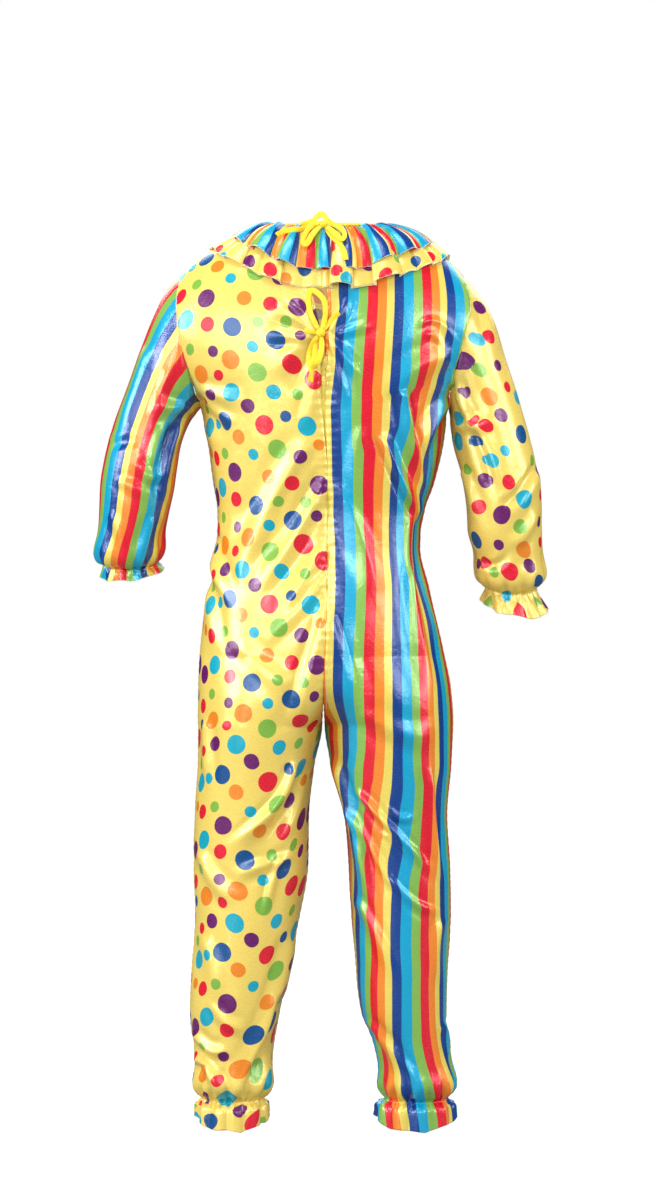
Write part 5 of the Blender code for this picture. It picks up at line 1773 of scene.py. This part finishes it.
def stitch_tree():
    """Stitches along a line, each a small bar of thread that may lie across the line."""
    tree = bpy.data.node_groups.new("stitches", "GeometryNodeTree")
    tree.interface.new_socket("Line", in_out="INPUT", socket_type="NodeSocketGeometry")
    usual = {"Pitch": 0.003, "Length": 0.002, "Thread": 0.0003, "Slant": 0.0, "Uneven": 0.1}
    for name, value in usual.items():
        socket = tree.interface.new_socket(name, in_out="INPUT", socket_type="NodeSocketFloat")
        socket.default_value = value
    tree.interface.new_socket("Seed", in_out="INPUT", socket_type="NodeSocketInt")
    tree.interface.new_socket("Material", in_out="INPUT", socket_type="NodeSocketMaterial")
    tree.interface.new_socket("Stitches", in_out="OUTPUT", socket_type="NodeSocketGeometry")
    nodes, links = tree.nodes, tree.links
    given, result = nodes.new("NodeGroupInput"), nodes.new("NodeGroupOutput")
    curve = nodes.new("GeometryNodeMeshToCurve")
    steps = add_node(nodes, "GeometryNodeResampleCurve", mode="LENGTH")
    points = add_node(nodes, "GeometryNodeCurveToPoints", mode="EVALUATED")
    bar = add_node(nodes, "GeometryNodeMeshCylinder", {"Vertices": 6, "Side Segments": 1})
    aim = add_node(nodes, "FunctionNodeAlignRotationToVector", axis="Z")
    chance = add_node(nodes, "FunctionNodeRandomValue", data_type="FLOAT")
    turn = nodes.new("ShaderNodeCombineXYZ")
    to_rotation = nodes.new("FunctionNodeEulerToRotation")
    turned = add_node(nodes, "FunctionNodeRotateRotation", rotation_space="LOCAL")
    place = nodes.new("GeometryNodeInstanceOnPoints")
    made = nodes.new("GeometryNodeRealizeInstances")
    painted = nodes.new("GeometryNodeSetMaterial")
    slant, uneven = given.outputs["Slant"], given.outputs["Uneven"]
    links.new(maths(nodes, links, "SUBTRACT", slant, uneven), chance.inputs[2])
    links.new(maths(nodes, links, "ADD", slant, uneven), chance.inputs[3])
    wires = (
        (given, "Line", curve, "Mesh"),
        (curve, 0, steps, "Curve"),
        (given, "Pitch", steps, "Length"),
        (steps, 0, points, "Curve"),
        (points, "Points", place, "Points"),
        (given, "Thread", bar, "Radius"),
        (given, "Length", bar, "Depth"),
        (bar, "Mesh", place, "Instance"),
        (points, "Tangent", aim, "Vector"),
        (given, "Seed", chance, "Seed"),
        (chance, 1, turn, "X"),
        (turn, 0, to_rotation, 0),
        (aim, 0, turned, "Rotation"),
        (to_rotation, 0, turned, "Rotate By"),
        (turned, 0, place, "Rotation"),
        (place, 0, made, 0),
        (made, 0, painted, "Geometry"),
        (given, "Material", painted, "Material"),
        (painted, 0, result, "Stitches"),
    )
    for source, output, target, entry in wires:
        links.new(source.outputs[output], target.inputs[entry])
    return tree


STITCHES = stitch_tree()


def sew(name, lines, material, pitch, length, thread, slant=0.0, uneven=0.1, seed=1):
    """Rows of stitches along lines of points, as one plain mesh."""
    vertices, edges = [], []
    for line in lines:
        first = len(vertices)
        vertices += [tuple(p) for p in line]
        edges += [(first + i, first + i + 1) for i in range(len(line) - 1)]
    mesh = bpy.data.meshes.new(name)
    mesh.from_pydata(vertices, edges, [])
    made = bpy.data.objects.new(name, mesh)
    bpy.context.scene.collection.objects.link(made)
    modifier = made.modifiers.new("stitches", "NODES")
    modifier.node_group = STITCHES
    values = {"Pitch": pitch, "Length": length, "Thread": thread}
    values.update({"Slant": slant, "Uneven": uneven, "Seed": seed})
    for item in STITCHES.interface.items_tree:
        if item.in_out == "INPUT" and item.name in values:
            modifier[item.identifier] = values[item.name]
        if item.in_out == "INPUT" and item.name == "Material":
            modifier[item.identifier] = material
    graph = bpy.context.evaluated_depsgraph_get()
    plain = bpy.data.meshes.new_from_object(made.evaluated_get(graph))
    made.modifiers.clear()
    made.data = plain
    plain.name = name
    plain.shade_smooth()
    return made


# ---------------------------------------------------------------------------------------------------
# Making it all

set_stage()
PIECES, HEMS = {}, {}
for side in ("left", "right"):
    for face in ("back", "front"):
        PIECES[f"{face}_{side}"] = body_panel(side, face)
        HEMS[f"{face}_{side}"] = body_cloth(side, face, np.linspace(0, 1, 61), HEM)[0]
    PIECES[f"sleeve_{side}"], cuff = sleeve_cloth(side)
    HEMS[f"sleeve_{side}"] = cuff[-1]
for tier in ("lower", "upper"):
    PIECES[f"collar_{tier}"], rows = collar_cloth(tier)
    HEMS[f"collar_{tier}"] = rows[-1]
PIECES["neck_binding"] = neck_binding()

for node, piece in PIECES.items():
    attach(piece, "root")
    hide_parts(node)

CLOTHS = Cloths(PIECES.values())
tie_bow("neck", CLOTHS)
tie_bow("back", CLOTHS)

SEAM_STITCHED = (0.430, 0.800)
BESIDE_SEAM = 0.024  # a share of the panel's width
STITCHES_PROUD = 0.0003
EXTRAS = {node: [] for node in PIECES}
EXTRAS["back_right"].append(placket())
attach(EXTRAS["back_right"][0], "root")
heights = np.linspace(*SEAM_STITCHED, 186)
beside_seam, _ = body_cloth("right", "back", np.full(len(heights), BESIDE_SEAM), heights)
beside_seam[:, 1] -= STITCHES_PROUD
sewn = sew("seam_stitches", [beside_seam], PALE_THREAD, 0.0032, 0.0021, 0.00030, uneven=0.06, seed=5)
EXTRAS["back_right"].append(sewn)
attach(sewn, "root")
for node, hem in HEMS.items():
    name = f"hem_stitches_{node}"
    sewn = sew(name, [hem], PALE_THREAD, 0.0015, 0.0018, 0.00034, slant=1.1, uneven=0.25, seed=3)
    EXTRAS[node].append(sewn)
    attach(sewn, "root")
